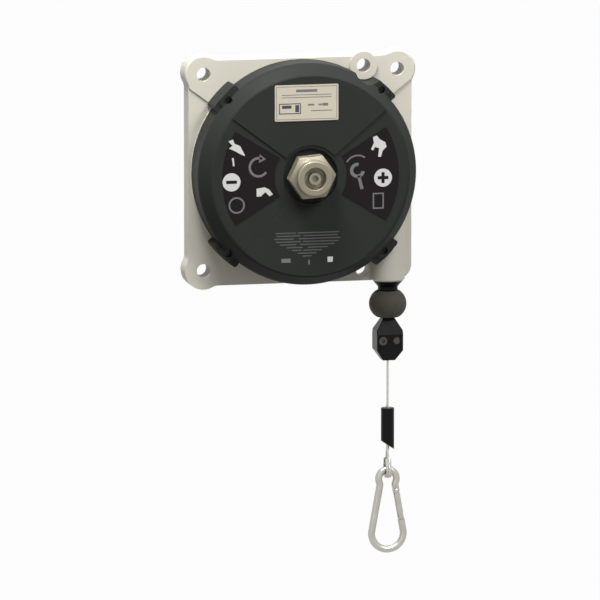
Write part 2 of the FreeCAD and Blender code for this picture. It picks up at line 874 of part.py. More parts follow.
def ratchet_wheel():
    """Saw-toothed wheel on the shaft's two flats; its steep faces look towards -X at the top."""
    step = 360 / ratchet_teeth
    outline = []
    for i in range(ratchet_teeth):
        angle = 90 - step * i
        outline.append(polar(ratchet_root_radius, angle))
        outline.append(polar(ratchet_tip_radius, angle))
    wheel = polygon_y([(p.x, p.z) for p in outline], ratchet_front, ratchet_back)
    bore = cylinder_y(0, 0, shaft_radius + seat_gap, ratchet_front, ratchet_back)
    flat = shaft_flats / 2 + seat_gap
    tall = shaft_radius * 2
    return wheel.cut(bore.common(block(-flat, flat, ratchet_front, ratchet_back, -tall, tall)))


def shaft_circlip():
    """Snap ring in front of the ratchet wheel."""
    inner = circlip_groove_radius + seat_gap
    start = 90 + circlip_opening_angle / 2
    end = 450 - circlip_opening_angle / 2
    back = ratchet_front - circlip_side_gap
    return sector(inner, circlip_outer_radius, start, end, circlip_front + circlip_side_gap, back)


def leaf_pawl():
    """Spring leaf whose end stands in a tooth of the ratchet wheel."""
    over = polar(ratchet_tip_radius + pawl_tooth_gap, 90 + 360 / ratchet_teeth)
    under = [
        (pawl_foot_left, pawl_foot_z),
        (pawl_foot_right, pawl_foot_z),
        (over.x, over.z),
        (-free_gap, pawl_tip_z),
    ]
    top = pawl_foot_z + pawl_thickness
    above = [(x, z + pawl_thickness) for x, z in reversed(under)]
    leaf = polygon_y(under + above, ratchet_front, ratchet_back)
    drill = pawl_screw_radius + seat_gap
    return leaf.cut([cylinder_z(x, pawl_middle, drill, pawl_foot_z, top) for x in pawl_screw_places])


def pawl_screws():
    """Two screws that hold the leaf pawl."""
    seat = pawl_foot_z + pawl_thickness
    screws = []
    for x in pawl_screw_places:
        head = cylinder_z(x, pawl_middle, pawl_screw_head, seat, seat + pawl_screw_head_height)
        shank = cylinder_z(x, pawl_middle, pawl_screw_radius, pawl_screw_end, seat)
        screws.append(fused([head, shank]))
    return Part.makeCompound(screws)


def adjusting_nut():
    """Hexagonal nut with a round collar, a neck behind it and a deep recess."""
    corner = nut_across_flats / math.sqrt(3)
    collar_end = nut_front + nut_ring_length
    shoulder = collar_end + nut_neck_length
    slope_start = shoulder + nut_shoulder
    slope_end = slope_start - (corner - nut_ring_radius) * nut_slope
    form = turned_y(
        [
            (0, nut_back),
            (corner, nut_back),
            (corner, slope_start),
            (nut_ring_radius, slope_end),
            (nut_ring_radius, shoulder),
            (nut_neck_radius, shoulder),
            (nut_neck_radius, collar_end),
            (nut_ring_radius, collar_end),
            (nut_ring_radius, nut_front + nut_edge),
            (nut_ring_radius - nut_edge, nut_front),
            (0, nut_front),
        ]
    )
    hexagon = hexagon_y(0, 0, nut_across_flats, shoulder, nut_back)
    hexagon.rotate(V(0, 0, 0), ALONG_Y, -nut_turn)
    hole_floor = nut_across_flats / 2 - nut_hole_depth
    hole_start = polar(hole_floor, 90 + nut_turn, nut_back - nut_hole_place)
    nose = cylinder_y(0, 0, nut_ring_radius, nut_front, shoulder)
    nut = form.common(fused([hexagon, nose]))
    half = square_side / 2 + seat_gap
    cuts = [
        cylinder_y(0, 0, nut_recess_radius, nut_front, nut_recess_floor),
        block(-half, half, square_end, nut_back, -half, half),
        cylinder_y(0, 0, nut_screw_radius + seat_gap, nut_front, nut_back),
        Part.makeCylinder(nut_hole_radius, corner, hole_start, polar(1, 90 + nut_turn)),
    ]
    return nut.cut(cuts)


def nut_screw():
    """Cap screw that holds the nut on the shaft."""
    head = nut_recess_floor - nut_screw_head_height
    end = nut_recess_floor + nut_screw_length
    size = (nut_screw_radius, nut_screw_head, head, nut_recess_floor, end)
    return socket_screw_y(0, 0, *size, nut_screw_socket)


# ---------------------------------------------------------------- rope outlet and load line


def outlet_bush():
    """Flared plastic bush pushed up into the rope boss."""
    top = outlet_spigot - boss_bottom
    cone_end = -boss_bottom - outlet_cone
    outside = [
        (outlet_bore_radius, top),
        (outlet_spigot_radius, top),
        (outlet_spigot_radius, -boss_bottom),
        (outlet_radius, -boss_bottom),
        (outlet_neck_radius, cone_end),
        (outlet_neck_radius, outlet_bottom),
        (outlet_flare_radius, outlet_bottom),
        (outlet_bore_radius, outlet_bottom + outlet_flare),
    ]
    return turned_z(outside)


def buffer():
    """Rubber barrel with a bulging side and a bore for the rope."""
    top, bottom = (V(rope_x, rope_y, z) for z in (buffer_top, buffer_top - buffer_height))
    bore, rim = V(buffer_bore_radius, 0, 0), V(buffer_end_radius, 0, 0)
    bulge = (top + bottom) * 0.5 + V(buffer_radius, 0, 0)
    edges = [
        Part.makeLine(top + bore, top + rim),
        Part.Arc(top + rim, bulge, bottom + rim).toShape(),
        Part.makeLine(bottom + rim, bottom + bore),
        Part.makeLine(bottom + bore, top + bore),
    ]
    barrel = Part.Face(Part.Wire(edges)).revolve(top, ALONG_Z, 360)
    size = 2 * buffer_end_radius
    rims = [e for e in barrel.Edges if e.BoundBox.ZLength < 1e-3 and abs(e.BoundBox.XLength - size) < 1e-3]
    return barrel.makeFillet(buffer_round, rims)


def clamp_body():
    """Faceted body of the stop clamp, as the overlap of its front and side outlines."""
    taper_z = clamp_bottom + clamp_taper
    front = [
        (-clamp_neck_half, clamp_top),
        (clamp_neck_half, clamp_top),
        (clamp_half_width, clamp_top - clamp_shoulder),
        (clamp_half_width, taper_z),
        (clamp_tail_half, clamp_bottom),
        (-clamp_tail_half, clamp_bottom),
        (-clamp_half_width, taper_z),
        (-clamp_half_width, clamp_top - clamp_shoulder),
    ]
    side = [
        (-clamp_neck_half, clamp_top),
        (clamp_neck_half, clamp_top),
        (clamp_half_depth, clamp_top - clamp_front_shoulder),
        (clamp_half_depth, taper_z),
        (clamp_tail_half, clamp_bottom),
        (-clamp_tail_half, clamp_bottom),
        (-clamp_half_depth, taper_z),
        (-clamp_half_depth, clamp_top - clamp_front_shoulder),
    ]
    reach = clamp_half_width * 2
    seen_in_front = polygon_y([(rope_x + x, z) for x, z in front], rope_y - reach, rope_y + reach)
    corners = [V(rope_x - reach, rope_y + y, z) for y, z in side]
    seen_from_side = Part.Face(Part.makePolygon(corners + corners[:1])).extrude(V(2 * reach, 0, 0))
    body = seen_in_front.common(seen_from_side)
    return body.makeFillet(clamp_round, body.Edges)


def clamp_screw_line(side):
    """(x, z) of the clamp screw on that side of the rope."""
    return rope_x + side * clamp_screw_offset, clamp_top - clamp_screw_drop


def clamp_half(front):
    """Front or rear half of the clamp, with one screw seat and one nut seat."""
    middle = rope_y
    outer = rope_y - clamp_half_depth if front else rope_y + clamp_half_depth
    low, high = min(middle, outer), max(middle, outer)
    reach = clamp_half_width * 2
    half = clamp_body().common(block(rope_x - reach, rope_x + reach, low, high, clamp_bottom, clamp_top))
    groove = cylinder_z(rope_x, rope_y, rope_radius + seat_gap, clamp_bottom, clamp_top)
    head_x, screw_z = clamp_screw_line(-1 if front else 1)
    nut_x, _ = clamp_screw_line(1 if front else -1)
    way = 1 if front else -1
    room = sorted((outer, outer + way * clamp_screw_sunk))
    cuts = [
        groove,
        cylinder_y(head_x, screw_z, clamp_screw_head + seat_gap, *room),
        cylinder_y(head_x, screw_z, clamp_screw_radius + seat_gap, low, high),
        cylinder_y(nut_x, screw_z, clamp_screw_radius + seat_gap, low, high),
        hexagon_y(nut_x, screw_z, clamp_nut_across_flats + 2 * seat_gap, *room),
    ]
    return half.cut(cuts)


def clamp_screws():
    """Two cap screws, one from each side."""
    screws = []
    for side in (-1, 1):
        x, z = clamp_screw_line(side)
        seat = clamp_half_depth - clamp_screw_sunk
        head = cylinder_y(x, z, clamp_screw_head, -seat - clamp_screw_head_height, -seat)
        shank = cylinder_y(x, z, clamp_screw_radius, -seat, seat + clamp_nut_height)
        top = -seat - clamp_screw_head_height
        socket = hexagon_y(x, z, clamp_screw_socket, top, top + clamp_screw_socket_depth)
        screw = fused([head, shank]).cut(socket)
        if side == 1:
            screw.rotate(V(x, 0, z), ALONG_Z, 180)
        screw.translate(V(0, rope_y, 0))
        screws.append(screw)
    return Part.makeCompound(screws)


def clamp_nuts():
    """Nuts of the two clamp screws."""
    nuts = []
    for side in (-1, 1):
        x, z = clamp_screw_line(side)
        seat = clamp_half_depth - clamp_screw_sunk
        nut = hexagon_y(x, z, clamp_nut_across_flats, seat, seat + clamp_nut_height)
        nut = nut.cut(cylinder_y(x, z, clamp_screw_radius + seat_gap, seat, seat + clamp_nut_height))
        if side == 1:
            nut.rotate(V(x, 0, z), ALONG_Z, 180)
        nut.translate(V(0, rope_y, 0))
        nuts.append(nut)
    return Part.makeCompound(nuts)


def rope_run(z_low, z_high):
    """Straight taut piece of the rope."""
    return cylinder_z(rope_x, rope_y, rope_radius, z_low, z_high)


def ferrule_sleeve():
    """Plastic sleeve over the ferrule, cut off at a slant below."""
    bore = ferrule_radius + seat_gap
    sleeve = turned_z(
        [
            (rope_radius + seat_gap, sleeve_top),
            (sleeve_radius, sleeve_top),
            (sleeve_radius, sleeve_bottom),
            (bore, sleeve_bottom),
            (bore, sleeve_top - sleeve_lid),
            (rope_radius + seat_gap, sleeve_top - sleeve_lid),
        ]
    )
    left = rope_x - sleeve_radius
    right = rope_x + sleeve_radius
    wedge = [(left, sleeve_bottom + sleeve_slant), (right, sleeve_bottom), (left, sleeve_bottom)]
    return sleeve.cut(polygon_y(wedge, rope_y - sleeve_radius, rope_y + sleeve_radius))


def crimp_ferrule():
    """Pressed aluminium ferrule that closes the rope's eye; its lower bore takes both legs."""
    bore = rope_radius + seat_gap
    back, front = rope_y + bore, rope_y - bore
    low, high = ferrule_bottom, ferrule_bottom + ferrule_socket
    body = cylinder_z(rope_x, rope_y, ferrule_radius, ferrule_bottom, ferrule_top)
    both_legs = [
        cylinder_z(rope_x, front, bore, low, high),
        cylinder_z(rope_x, back, bore, low, high),
        block(rope_x - bore, rope_x + bore, front, back, low, high),
    ]
    single = cylinder_z(rope_x, rope_y, bore, ferrule_top - ferrule_socket, ferrule_top)
    return body.cut([fused(both_legs), single])


def eye_tangent():
    """Slope of the eye's legs, in radians from upright."""
    across = rope_radius + seat_gap + eye_bend_radius
    distance = math.hypot(across, eye_bend_height)
    lean = math.asin((eye_bend_radius + eye_radius) / distance)
    return lean - math.atan2(across, eye_bend_height)


def eye_point(radius, side, along):
    """Point beside the eye's arc of that radius, further up its leg by along."""
    slope = eye_tangent()
    y = radius * math.cos(slope) - along * math.sin(slope)
    z = radius * math.sin(slope) + along * math.cos(slope)
    return V(rope_x, rope_y + side * y, eye_z + z)


def eye_path():
    """Line of the rope round its thimble and up both sides into the ferrule."""
    slope = eye_tangent()
    across = rope_radius + seat_gap
    top = ferrule_bottom + ferrule_socket
    legs = {}
    for side in (1, -1):
        upright = V(rope_x, rope_y + side * across, top)
        bend_start = V(rope_x, rope_y + side * across, eye_z + eye_bend_height)
        centre = bend_start + V(0, side * eye_bend_radius, 0)
        turn = slope / 2
        bend_middle = centre - V(0, side * math.cos(turn), math.sin(turn)) * eye_bend_radius
        bend_end = centre - V(0, side * math.cos(slope), math.sin(slope)) * eye_bend_radius
        legs[side] = [upright, bend_start, bend_middle, bend_end, eye_point(eye_radius, side, 0)]
    bottom = V(rope_x, rope_y, eye_z - eye_radius)
    a, b = legs[1], legs[-1]
    return Part.Wire(
        [
            Part.makeLine(a[0], a[1]),
            Part.Arc(a[1], a[2], a[3]).toShape(),
            Part.makeLine(a[3], a[4]),
            Part.Arc(a[4], bottom, b[4]).toShape(),
            Part.makeLine(b[4], b[3]),
            Part.Arc(b[3], b[2], b[1]).toShape(),
            Part.makeLine(b[1], b[0]),
        ]
    )


def along_eye(radius):
    """Round bar of that radius along the eye's line."""
    path = eye_path()
    start = path.Edges[0].Vertexes[0].Point
    section = Part.Face(Part.Wire(Part.makeCircle(radius, start, V(0, 0, -1))))
    return path.makePipe(section)


def thimble():
    """Grooved teardrop that lines the rope's eye."""
    outer = eye_radius + thimble_lip
    inner = thimble_inner_radius
    right_out = eye_point(outer, 1, thimble_leg)
    left_out = eye_point(outer, -1, thimble_leg)
    right_in = eye_point(inner, 1, thimble_leg)
    left_in = eye_point(inner, -1, thimble_leg)
    outer_low = V(rope_x, rope_y, eye_z - outer)
    inner_low = V(rope_x, rope_y, eye_z - inner)
    edges = [
        Part.makeLine(right_out, eye_point(outer, 1, 0)),
        Part.Arc(eye_point(outer, 1, 0), outer_low, eye_point(outer, -1, 0)).toShape(),
        Part.makeLine(eye_point(outer, -1, 0), left_out),
        Part.makeLine(left_out, left_in),
        Part.makeLine(left_in, eye_point(inner, -1, 0)),
        Part.Arc(eye_point(inner, -1, 0), inner_low, eye_point(inner, 1, 0)).toShape(),
        Part.makeLine(eye_point(inner, 1, 0), right_in),
        Part.makeLine(right_in, right_out),
    ]
    face = Part.Face(Part.Wire(edges))
    face.translate(V(-thimble_half_width, 0, 0))
    channel = face.extrude(V(2 * thimble_half_width, 0, 0))
    return channel.cut(along_eye(rope_radius + seat_gap))


# ---------------------------------------------------------------- snap hook


def beside_leg(side, out, down):
    """Point that far out from the hook's middle across a leg and that far down along it."""
    x = out * math.cos(hook_slope) + down * math.sin(hook_slope)
    z = out * math.sin(hook_slope) - down * math.cos(hook_slope)
    return V(rope_x + side * x, rope_y, hook_top_centre_z + z)


def leg_point(side, down):
    """Point on a leg of the hook, down from the level of its top loop's middle."""
    return beside_leg(side, hook_waist, down)


def leg_direction():
    """Unit vector down the gate's leg."""
    return V(math.sin(hook_slope), 0, -math.cos(hook_slope))


def leg_across():
    """Unit vector across the gate's leg, away from the hook's middle."""
    return V(math.cos(hook_slope), 0, math.sin(hook_slope))


def leg_plate(down_start, down_end, half_width, half_thickness):
    """Flat plate along the gate's leg."""
    along = leg_direction()
    across = leg_across() * half_width
    start = leg_point(1, down_start)
    end = start + along * (down_end - down_start)
    corners = [start + across, end + across, end - across, start - across]
    face = Part.Face(Part.makePolygon(corners + corners[:1]))
    face.translate(V(0, -half_thickness, 0))
    return face.extrude(V(0, 2 * half_thickness, 0))


def pivot_cylinder(radius, half_length):
    """Cylinder about the gate's pivot."""
    p = leg_point(1, gate_pivot)
    return cylinder_y(p.x, p.z, radius, p.y - half_length, p.y + half_length)


def nose_drop():
    """How far down its leg the hook's nose begins."""
    return gate_pivot + gate_length + gate_end_gap


def neck_arc(side):
    """Start, middle and end of the bend between a leg and the top loop."""
    top_centre = V(rope_x, rope_y, hook_top_centre_z)
    centre = beside_leg(side, hook_waist + hook_neck_round, hook_neck)
    low = leg_point(side, hook_neck)
    high = centre + (top_centre - centre).normalize() * hook_neck_round
    middle = centre + ((low + high) * 0.5 - centre).normalize() * hook_neck_round
    return low, middle, high


def snap_hook():
    """Pear-shaped hook bent from round bar, with a tongue at the pivot and one at the nose."""
    leg = math.sqrt(hook_centres**2 - (hook_bottom_radius - hook_waist) ** 2)
    nose = leg_point(1, nose_drop())
    right = leg_point(1, leg)
    left = leg_point(-1, leg)
    bottom = V(rope_x, rope_y, hook_bottom_centre_z - hook_bottom_radius)
    top = V(rope_x, rope_y, hook_top_centre_z + hook_top_radius)
    left_low, left_middle, left_high = neck_arc(-1)
    right_low, right_middle, right_high = neck_arc(1)
    path = Part.Wire(
        [
            Part.makeLine(nose, right),
            Part.Arc(right, bottom, left).toShape(),
            Part.makeLine(left, left_low),
            Part.Arc(left_low, left_middle, left_high).toShape(),
            Part.Arc(left_high, top, right_high).toShape(),
            Part.Arc(right_high, right_middle, right_low).toShape(),
        ]
    )
    section = Part.Face(Part.Wire(Part.makeCircle(hook_wire_radius, nose, leg_direction())))
    bar = path.makePipe(section)
    tongue_start = hook_neck - tongue_root
    pivot_tongue = leg_plate(tongue_start, gate_pivot, gate_wire_radius, gate_tongue_half)
    pivot_round = pivot_cylinder(gate_wire_radius, gate_tongue_half)
    nose_start = nose_drop() - nose_tongue
    nose_end = nose_drop() + tongue_root
    nose_plate = leg_plate(nose_start, nose_end, nose_tongue_half_width, gate_tongue_half)
    hook = fused([bar, pivot_tongue, pivot_round, nose_plate])
    return hook.cut(pivot_cylinder(gate_pin_radius + run_gap, hook_wire_radius))


def gate():
    """Round gate bar, forked at the pivot and at the nose."""
    pivot = leg_point(1, gate_pivot)
    bar = Part.makeCylinder(gate_wire_radius, gate_length, pivot, leg_direction())
    dome = Part.makeSphere(gate_wire_radius, pivot)
    slot_start = gate_pivot - gate_wire_radius * 2
    slot_end = gate_pivot + gate_wire_radius + gate_end_gap
    fork_top = leg_plate(slot_start, slot_end, gate_wire_radius * 2, gate_slot_half)
    fork_start = nose_drop() - nose_tongue - gate_end_gap
    fork_low = leg_plate(fork_start, nose_drop(), gate_wire_radius * 2, gate_slot_half)
    bore_depth = gate_wire_radius + gate_end_gap + gate_spring_length
    bore_radius = gate_spring_radius + gate_spring_room
    bore = Part.makeCylinder(bore_radius, bore_depth, pivot, leg_direction())
    pin_hole = pivot_cylinder(gate_pin_radius + run_gap, hook_wire_radius)
    return fused([bar, dome]).cut([fork_top, fork_low, bore, pin_hole])


def gate_pin():
    """Rivet on which the gate turns."""
    return pivot_cylinder(gate_pin_radius, gate_wire_radius - gate_pin_inset)


def gate_spring():
    """Outer shape of the small coil spring inside the gate."""
    start = leg_point(1, gate_pivot + gate_wire_radius + gate_spring_room / 2)
    return Part.makeCylinder(gate_spring_radius, gate_spring_length, start, leg_direction())


parts = {
    "base_housing": base_housing,
    "rear_shaft_bush": rear_shaft_bush,
    "thrust_washer": thrust_washer,
    "front_cover": front_cover,
    "cover_screws": cover_screws,
    "front_shaft_bush": front_shaft_bush,
    "name_plate": name_plate,
    "label_plus": lambda: label(0),
    "label_minus": lambda: label(180),
    "cable_drum": cable_drum,
    "spring_cover": spring_cover,
    "spring_cover_screws": spring_cover_screws,
    "drum_bush_rear": lambda: drum_bush(web_front, drum_back),
    "drum_bush_front": lambda: drum_bush(hub_front, lid_back),
    "rope_winding": rope_winding,
    "rope_anchor": rope_anchor,
    "power_spring": power_spring,
    "tension_shaft": tension_shaft,
    "ratchet_wheel": ratchet_wheel,
    "shaft_circlip": shaft_circlip,
    "leaf_pawl": leaf_pawl,
    "pawl_screws": pawl_screws,
    "adjusting_nut": adjusting_nut,
    "nut_screw": nut_screw,
    "outlet_bush": outlet_bush,
    "rope_fall": lambda: rope_run(clamp_top, 0),
    "buffer_ball": buffer,
    "stop_clamp_front": lambda: clamp_half(True),
    "stop_clamp_rear": lambda: clamp_half(False),
    "clamp_screws": clamp_screws,
    "clamp_nuts": clamp_nuts,
    "rope_tail": lambda: rope_run(ferrule_top - ferrule_socket, clamp_top),
    "ferrule_sleeve": ferrule_sleeve,
    "crimp_ferrule": crimp_ferrule,
    "rope_eye": lambda: along_eye(rope_radius),
    "thimble": thimble,
    "snap_hook": snap_hook,
    "gate": gate,
    "gate_pin": gate_pin,
    "gate_spring": gate_spring,
}

os.makedirs("parts", exist_ok=True)
for name, make in parts.items():
    make().exportStep("parts/" + name + ".step")
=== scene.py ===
"""Looks of a spring balancer for hand tools: finishes, soft edges, printed marks and its wire rope."""

import logging
import math
from dataclasses import dataclass, field
from enum import Enum
from typing import Iterable, Sequence, Union

import bmesh
import bpy
from mathutils import Matrix, Vector


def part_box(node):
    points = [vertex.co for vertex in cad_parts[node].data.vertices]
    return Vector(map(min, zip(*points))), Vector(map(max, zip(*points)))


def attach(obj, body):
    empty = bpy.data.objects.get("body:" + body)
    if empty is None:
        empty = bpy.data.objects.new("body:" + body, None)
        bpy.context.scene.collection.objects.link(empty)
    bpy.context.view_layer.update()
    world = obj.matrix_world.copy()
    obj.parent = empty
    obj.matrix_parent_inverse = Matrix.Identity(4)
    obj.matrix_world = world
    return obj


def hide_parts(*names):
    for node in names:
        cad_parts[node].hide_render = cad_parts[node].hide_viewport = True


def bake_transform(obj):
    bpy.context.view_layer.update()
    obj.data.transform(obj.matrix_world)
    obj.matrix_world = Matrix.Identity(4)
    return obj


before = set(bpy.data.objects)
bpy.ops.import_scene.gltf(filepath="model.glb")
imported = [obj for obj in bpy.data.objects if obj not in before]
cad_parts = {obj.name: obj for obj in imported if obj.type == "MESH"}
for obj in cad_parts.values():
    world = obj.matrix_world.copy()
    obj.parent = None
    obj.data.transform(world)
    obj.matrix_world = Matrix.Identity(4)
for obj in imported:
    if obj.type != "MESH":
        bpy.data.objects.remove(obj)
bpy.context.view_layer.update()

LOG = logging.getLogger("balancer")
MM = 0.001
ARC_STEP = 10.0

Colour = tuple[float, float, float]
Point = tuple[float, float, float]
Spot = tuple[float, float]
Mark = tuple[float, ...]
Value = Union[float, tuple, "Signal"]
Tint = Union[Colour, "Signal"]
Surface = dict[str, Value]
Piece = bpy.types.Object

# Sockets of a colour Mix node, which share their names with those of its other data types.
MIX_FACTOR, MIX_FIRST, MIX_SECOND, MIX_RESULT = 0, 6, 7, 2
WHITE = (1.0, 1.0, 1.0, 1.0)


class Body(Enum):
    """Bodies of the balancer that a new piece can ride on."""

    HOUSING = "housing"
    LOAD_LINE = "load_line"
    TENSION_ADJUSTER = "tension_adjuster"


# -------- node trees


@dataclass(frozen=True)
class Signal:
    """One output of a node, on which plain arithmetic builds Math nodes.

    Attributes:
        graph: The node tree that the socket belongs to.
        socket: The output that is wrapped.
    """

    graph: "Graph"
    socket: bpy.types.NodeSocket

    def output(self, name: Union[str, int]) -> "Signal":
        """Another output of the same node."""
        return Signal(self.graph, self.socket.node.outputs[name])

    def _math(self, operation: str, first: Value, second: Value) -> "Signal":
        """A Math node of two values."""
        return self.graph.node("ShaderNodeMath", {"operation": operation}, {0: first, 1: second})

    def __add__(self, other: Value) -> "Signal":
        """Sum."""
        return self._math("ADD", self, other)

    def __sub__(self, other: Value) -> "Signal":
        """Difference."""
        return self._math("SUBTRACT", self, other)

    def __mul__(self, other: Value) -> "Signal":
        """Product."""
        return self._math("MULTIPLY", self, other)

    __radd__ = __add__
    __rmul__ = __mul__

    def __pow__(self, other: Value) -> "Signal":
        """Power."""
        return self._math("POWER", self, other)

    def highest(self, other: Value) -> "Signal":
        """The larger of two values."""
        return self._math("MAXIMUM", self, other)

    def sine(self) -> "Signal":
        """Sine of the value in radians."""
        return self._math("SINE", self, 0.0)


class Graph:
    """Node tree of a material or of the world, which is emptied first."""

    def __init__(self, tree: bpy.types.NodeTree) -> None:
        """Takes over a tree and empties it."""
        self.tree = tree
        tree.nodes.clear()

    def node(self, kind: str, settings: dict | None = None, inputs: dict | None = None) -> Signal:
        """Adds a node.

        Args:
            kind: The node's type.
            settings: Its properties.
            inputs: Values or links of its sockets, by name or number.

        Returns:
            The node's first output, or its first input if it has none.
        """
        made = self.tree.nodes.new(kind)
        for key, value in (settings or {}).items():
            setattr(made, key, value)
        for key, value in (inputs or {}).items():
            if isinstance(value, Signal):
                self.tree.links.new(value.socket, made.inputs[key])
            else:
                made.inputs[key].default_value = value
        return Signal(self, (made.outputs or made.inputs)[0])

    def place(self) -> Signal:
        """Object coordinates, in metres."""
        return self.node("ShaderNodeTexCoord").output("Object")

    def noise(self, where: Signal, cells: float, detail: float = 2.0) -> Signal:
        """Noise from 0 to 1, by its cells per unit of the coordinates and its finer layers."""
        inputs = {"Vector": where, "Scale": cells, "Detail": detail}
        return self.node("ShaderNodeTexNoise", inputs=inputs)

    def stretched(self, where: Signal, scale: Point) -> Signal:
        """Coordinates stretched along their axes."""
        return self.node("ShaderNodeMapping", inputs={"Vector": where, "Scale": scale})

    def between(self, factor: Value, first: Tint, second: Tint) -> Signal:
        """A colour between two others, by a factor from 0 to 1.

        Args:
            factor: Share of the second colour.
            first: A plain colour, or one that a node gives.
            second: The same.

        Returns:
            The colour.
        """
        first, second = (c if isinstance(c, Signal) else (*c, 1.0) for c in (first, second))
        inputs = {MIX_FACTOR: factor, MIX_FIRST: first, MIX_SECOND: second}
        return self.node("ShaderNodeMix", {"data_type": "RGBA"}, inputs).output(MIX_RESULT)

    def seen_directly(self) -> Signal:
        """1 for what the camera sees, also by reflection or through glass, and 0 for light."""
        rays = self.node("ShaderNodeLightPath")
        seen = rays.output("Is Camera Ray").highest(rays.output("Is Glossy Ray"))
        return seen.highest(rays.output("Is Transmission Ray"))

    def stepped(self, value: Signal, low: float, high: float) -> Signal:
        """The value spread so that low becomes 0 and high becomes 1, without going past them."""
        inputs = {"Value": value, "From Min": low, "From Max": high}
        return self.node("ShaderNodeMapRange", {"clamp": True}, inputs)

    def relief(self, height: Signal, depth: float, under: Signal | None = None) -> Signal:
        """Normals of an uneven surface.

        Args:
            height: Height from 0 to 1.
            depth: Depth of the relief in metres.
            under: Normals of a coarser relief below it.

        Returns:
            The normals.
        """
        inputs: Surface = {"Height": height, "Distance": depth, "Strength": 1.0}
        if under is not None:
            inputs["Normal"] = under
        return self.node("ShaderNodeBump", inputs=inputs)


def shade(colour: Colour, factor: float) -> Colour:
    """The colour made lighter or darker."""
    return tuple(min(1.0, part * factor) for part in colour)


# -------- finishes


@dataclass(frozen=True)
class Finish:
    """A surface finish that makes its own material.

    Attributes:
        name: Name of the material.
        colour: Main colour.
        roughness: Mean roughness.
        metallic: Share of metal.
        reflectance: Strength of plain reflections.
        spread: How much lighter and darker the colour gets.
        sway: How far the roughness goes from its lowest to its highest.
    """

    name: str
    colour: Colour
    roughness: float = 0.5
    metallic: float = 0.0
    reflectance: float = 0.5
    spread: float = 0.05
    sway: float = 0.2

    def material(self) -> bpy.types.Material:
        """The finish's material, which is made once."""
        made = bpy.data.materials.get(f"finish_{self.name}")
        if made is None:
            made = bpy.data.materials.new(f"finish_{self.name}")
            made.use_nodes = True
            graph = Graph(made.node_tree)
            inputs: Surface = {
                "Metallic": self.metallic,
                "Specular IOR Level": self.reflectance,
            }
            inputs.update(self.surface(graph, graph.place()))
            shader = graph.node("ShaderNodeBsdfPrincipled", inputs=inputs)
            graph.node("ShaderNodeOutputMaterial", inputs={"Surface": shader})
        return made

    def surface(self, graph: Graph, place: Signal) -> Surface:
        """What varies over the surface.

        Args:
            graph: Tree of the material.
            place: Object coordinates.

        Returns:
            Values for the shader, by socket.
        """
        raise NotImplementedError

    def tinted(self, graph: Graph, mask: Signal) -> Signal:
        """The main colour, darker where the mask is 0 and lighter where it is 1."""
        low, high = shade(self.colour, 1 - self.spread), shade(self.colour, 1 + self.spread)
        return graph.between(mask, low, high)

    def dulled(self, mask: Signal) -> Signal:
        """The roughness, lower where the mask is 0 and higher where it is 1."""
        return self.roughness + self.sway * (mask - 0.5)


@dataclass(frozen=True)
class PaintedCasting(Finish):
    """Satin paint over a casting.

    Attributes:
        peel_cells: Cells per metre of the paint's orange peel.
        peel_depth: Its depth in metres.
        cast_cells: Cells per metre of the casting's unevenness.
        cast_depth: Its depth in metres.
    """

    peel_cells: float = 1100.0
    peel_depth: float = 0.00005
    cast_cells: float = 140.0
    cast_depth: float = 0.00012
    sway: float = 0.12

    def surface(self, graph: Graph, place: Signal) -> Surface:
        """Cloudy tint, a few specks, orange peel over a gently uneven casting."""
        clouds = graph.noise(place, cells=22.0, detail=4.0)
        specks = graph.stepped(graph.noise(place, cells=2600.0, detail=1.0), low=0.74, high=0.8)
        casting = graph.relief(graph.noise(place, self.cast_cells, detail=3.0), self.cast_depth)
        peel = graph.relief(graph.noise(place, self.peel_cells), self.peel_depth, casting)
        return {
            "Base Color": self.tinted(graph, clouds - 0.5 * specks),
            "Roughness": self.dulled(clouds),
            "Normal": peel,
        }


@dataclass(frozen=True)
class Moulded(Finish):
    """Moulded plastic with an eroded grain.

    Attributes:
        grain_cells: Cells per metre of the grain.
        grain_depth: Its depth in metres.
    """

    grain_cells: float = 2200.0
    grain_depth: float = 0.00006
    sway: float = 0.18

    def surface(self, graph: Graph, place: Signal) -> Surface:
        """Fine grain with soft handling marks in its gloss."""
        grain = graph.noise(place, self.grain_cells, detail=3.0)
        handling = graph.noise(place, cells=35.0, detail=5.0)
        return {
            "Base Color": self.tinted(graph, 0.5 * grain + 0.5 * handling),
            "Roughness": self.dulled(handling),
            "Normal": graph.relief(grain, self.grain_depth),
        }


@dataclass(frozen=True)
class Film(Finish):
    """Printed film or ink, smooth with a faint ripple."""

    sway: float = 0.14

    def surface(self, graph: Graph, place: Signal) -> Surface:
        """Faint ripple of a stuck film and an uneven gloss."""
        ripple = graph.noise(place, cells=260.0, detail=2.0)
        gloss = graph.noise(place, cells=900.0, detail=3.0)
        return {
            "Base Color": self.tinted(graph, gloss),
            "Roughness": self.dulled(gloss),
            "Normal": graph.relief(ripple, depth=0.00003),
        }


@dataclass(frozen=True)
class Brushed(Finish):
    """Metal or anodised plate brushed along one axis.

    Attributes:
        stretch: Cells per metre along X, Y and Z.
        depth: Depth of the brushing in metres.
    """

    stretch: Point = (120.0, 4000.0, 4000.0)
    depth: float = 0.00001

    def surface(self, graph: Graph, place: Signal) -> Surface:
        """Long fine scratches in colour, gloss and relief."""
        lines = graph.noise(graph.stretched(place, self.stretch), cells=1.0, detail=3.0)
        clouds = graph.noise(place, cells=60.0, detail=3.0)
        return {
            "Base Color": self.tinted(graph, 0.6 * lines + 0.4 * clouds),
            "Roughness": self.dulled(lines),
            "Normal": graph.relief(lines, self.depth),
        }


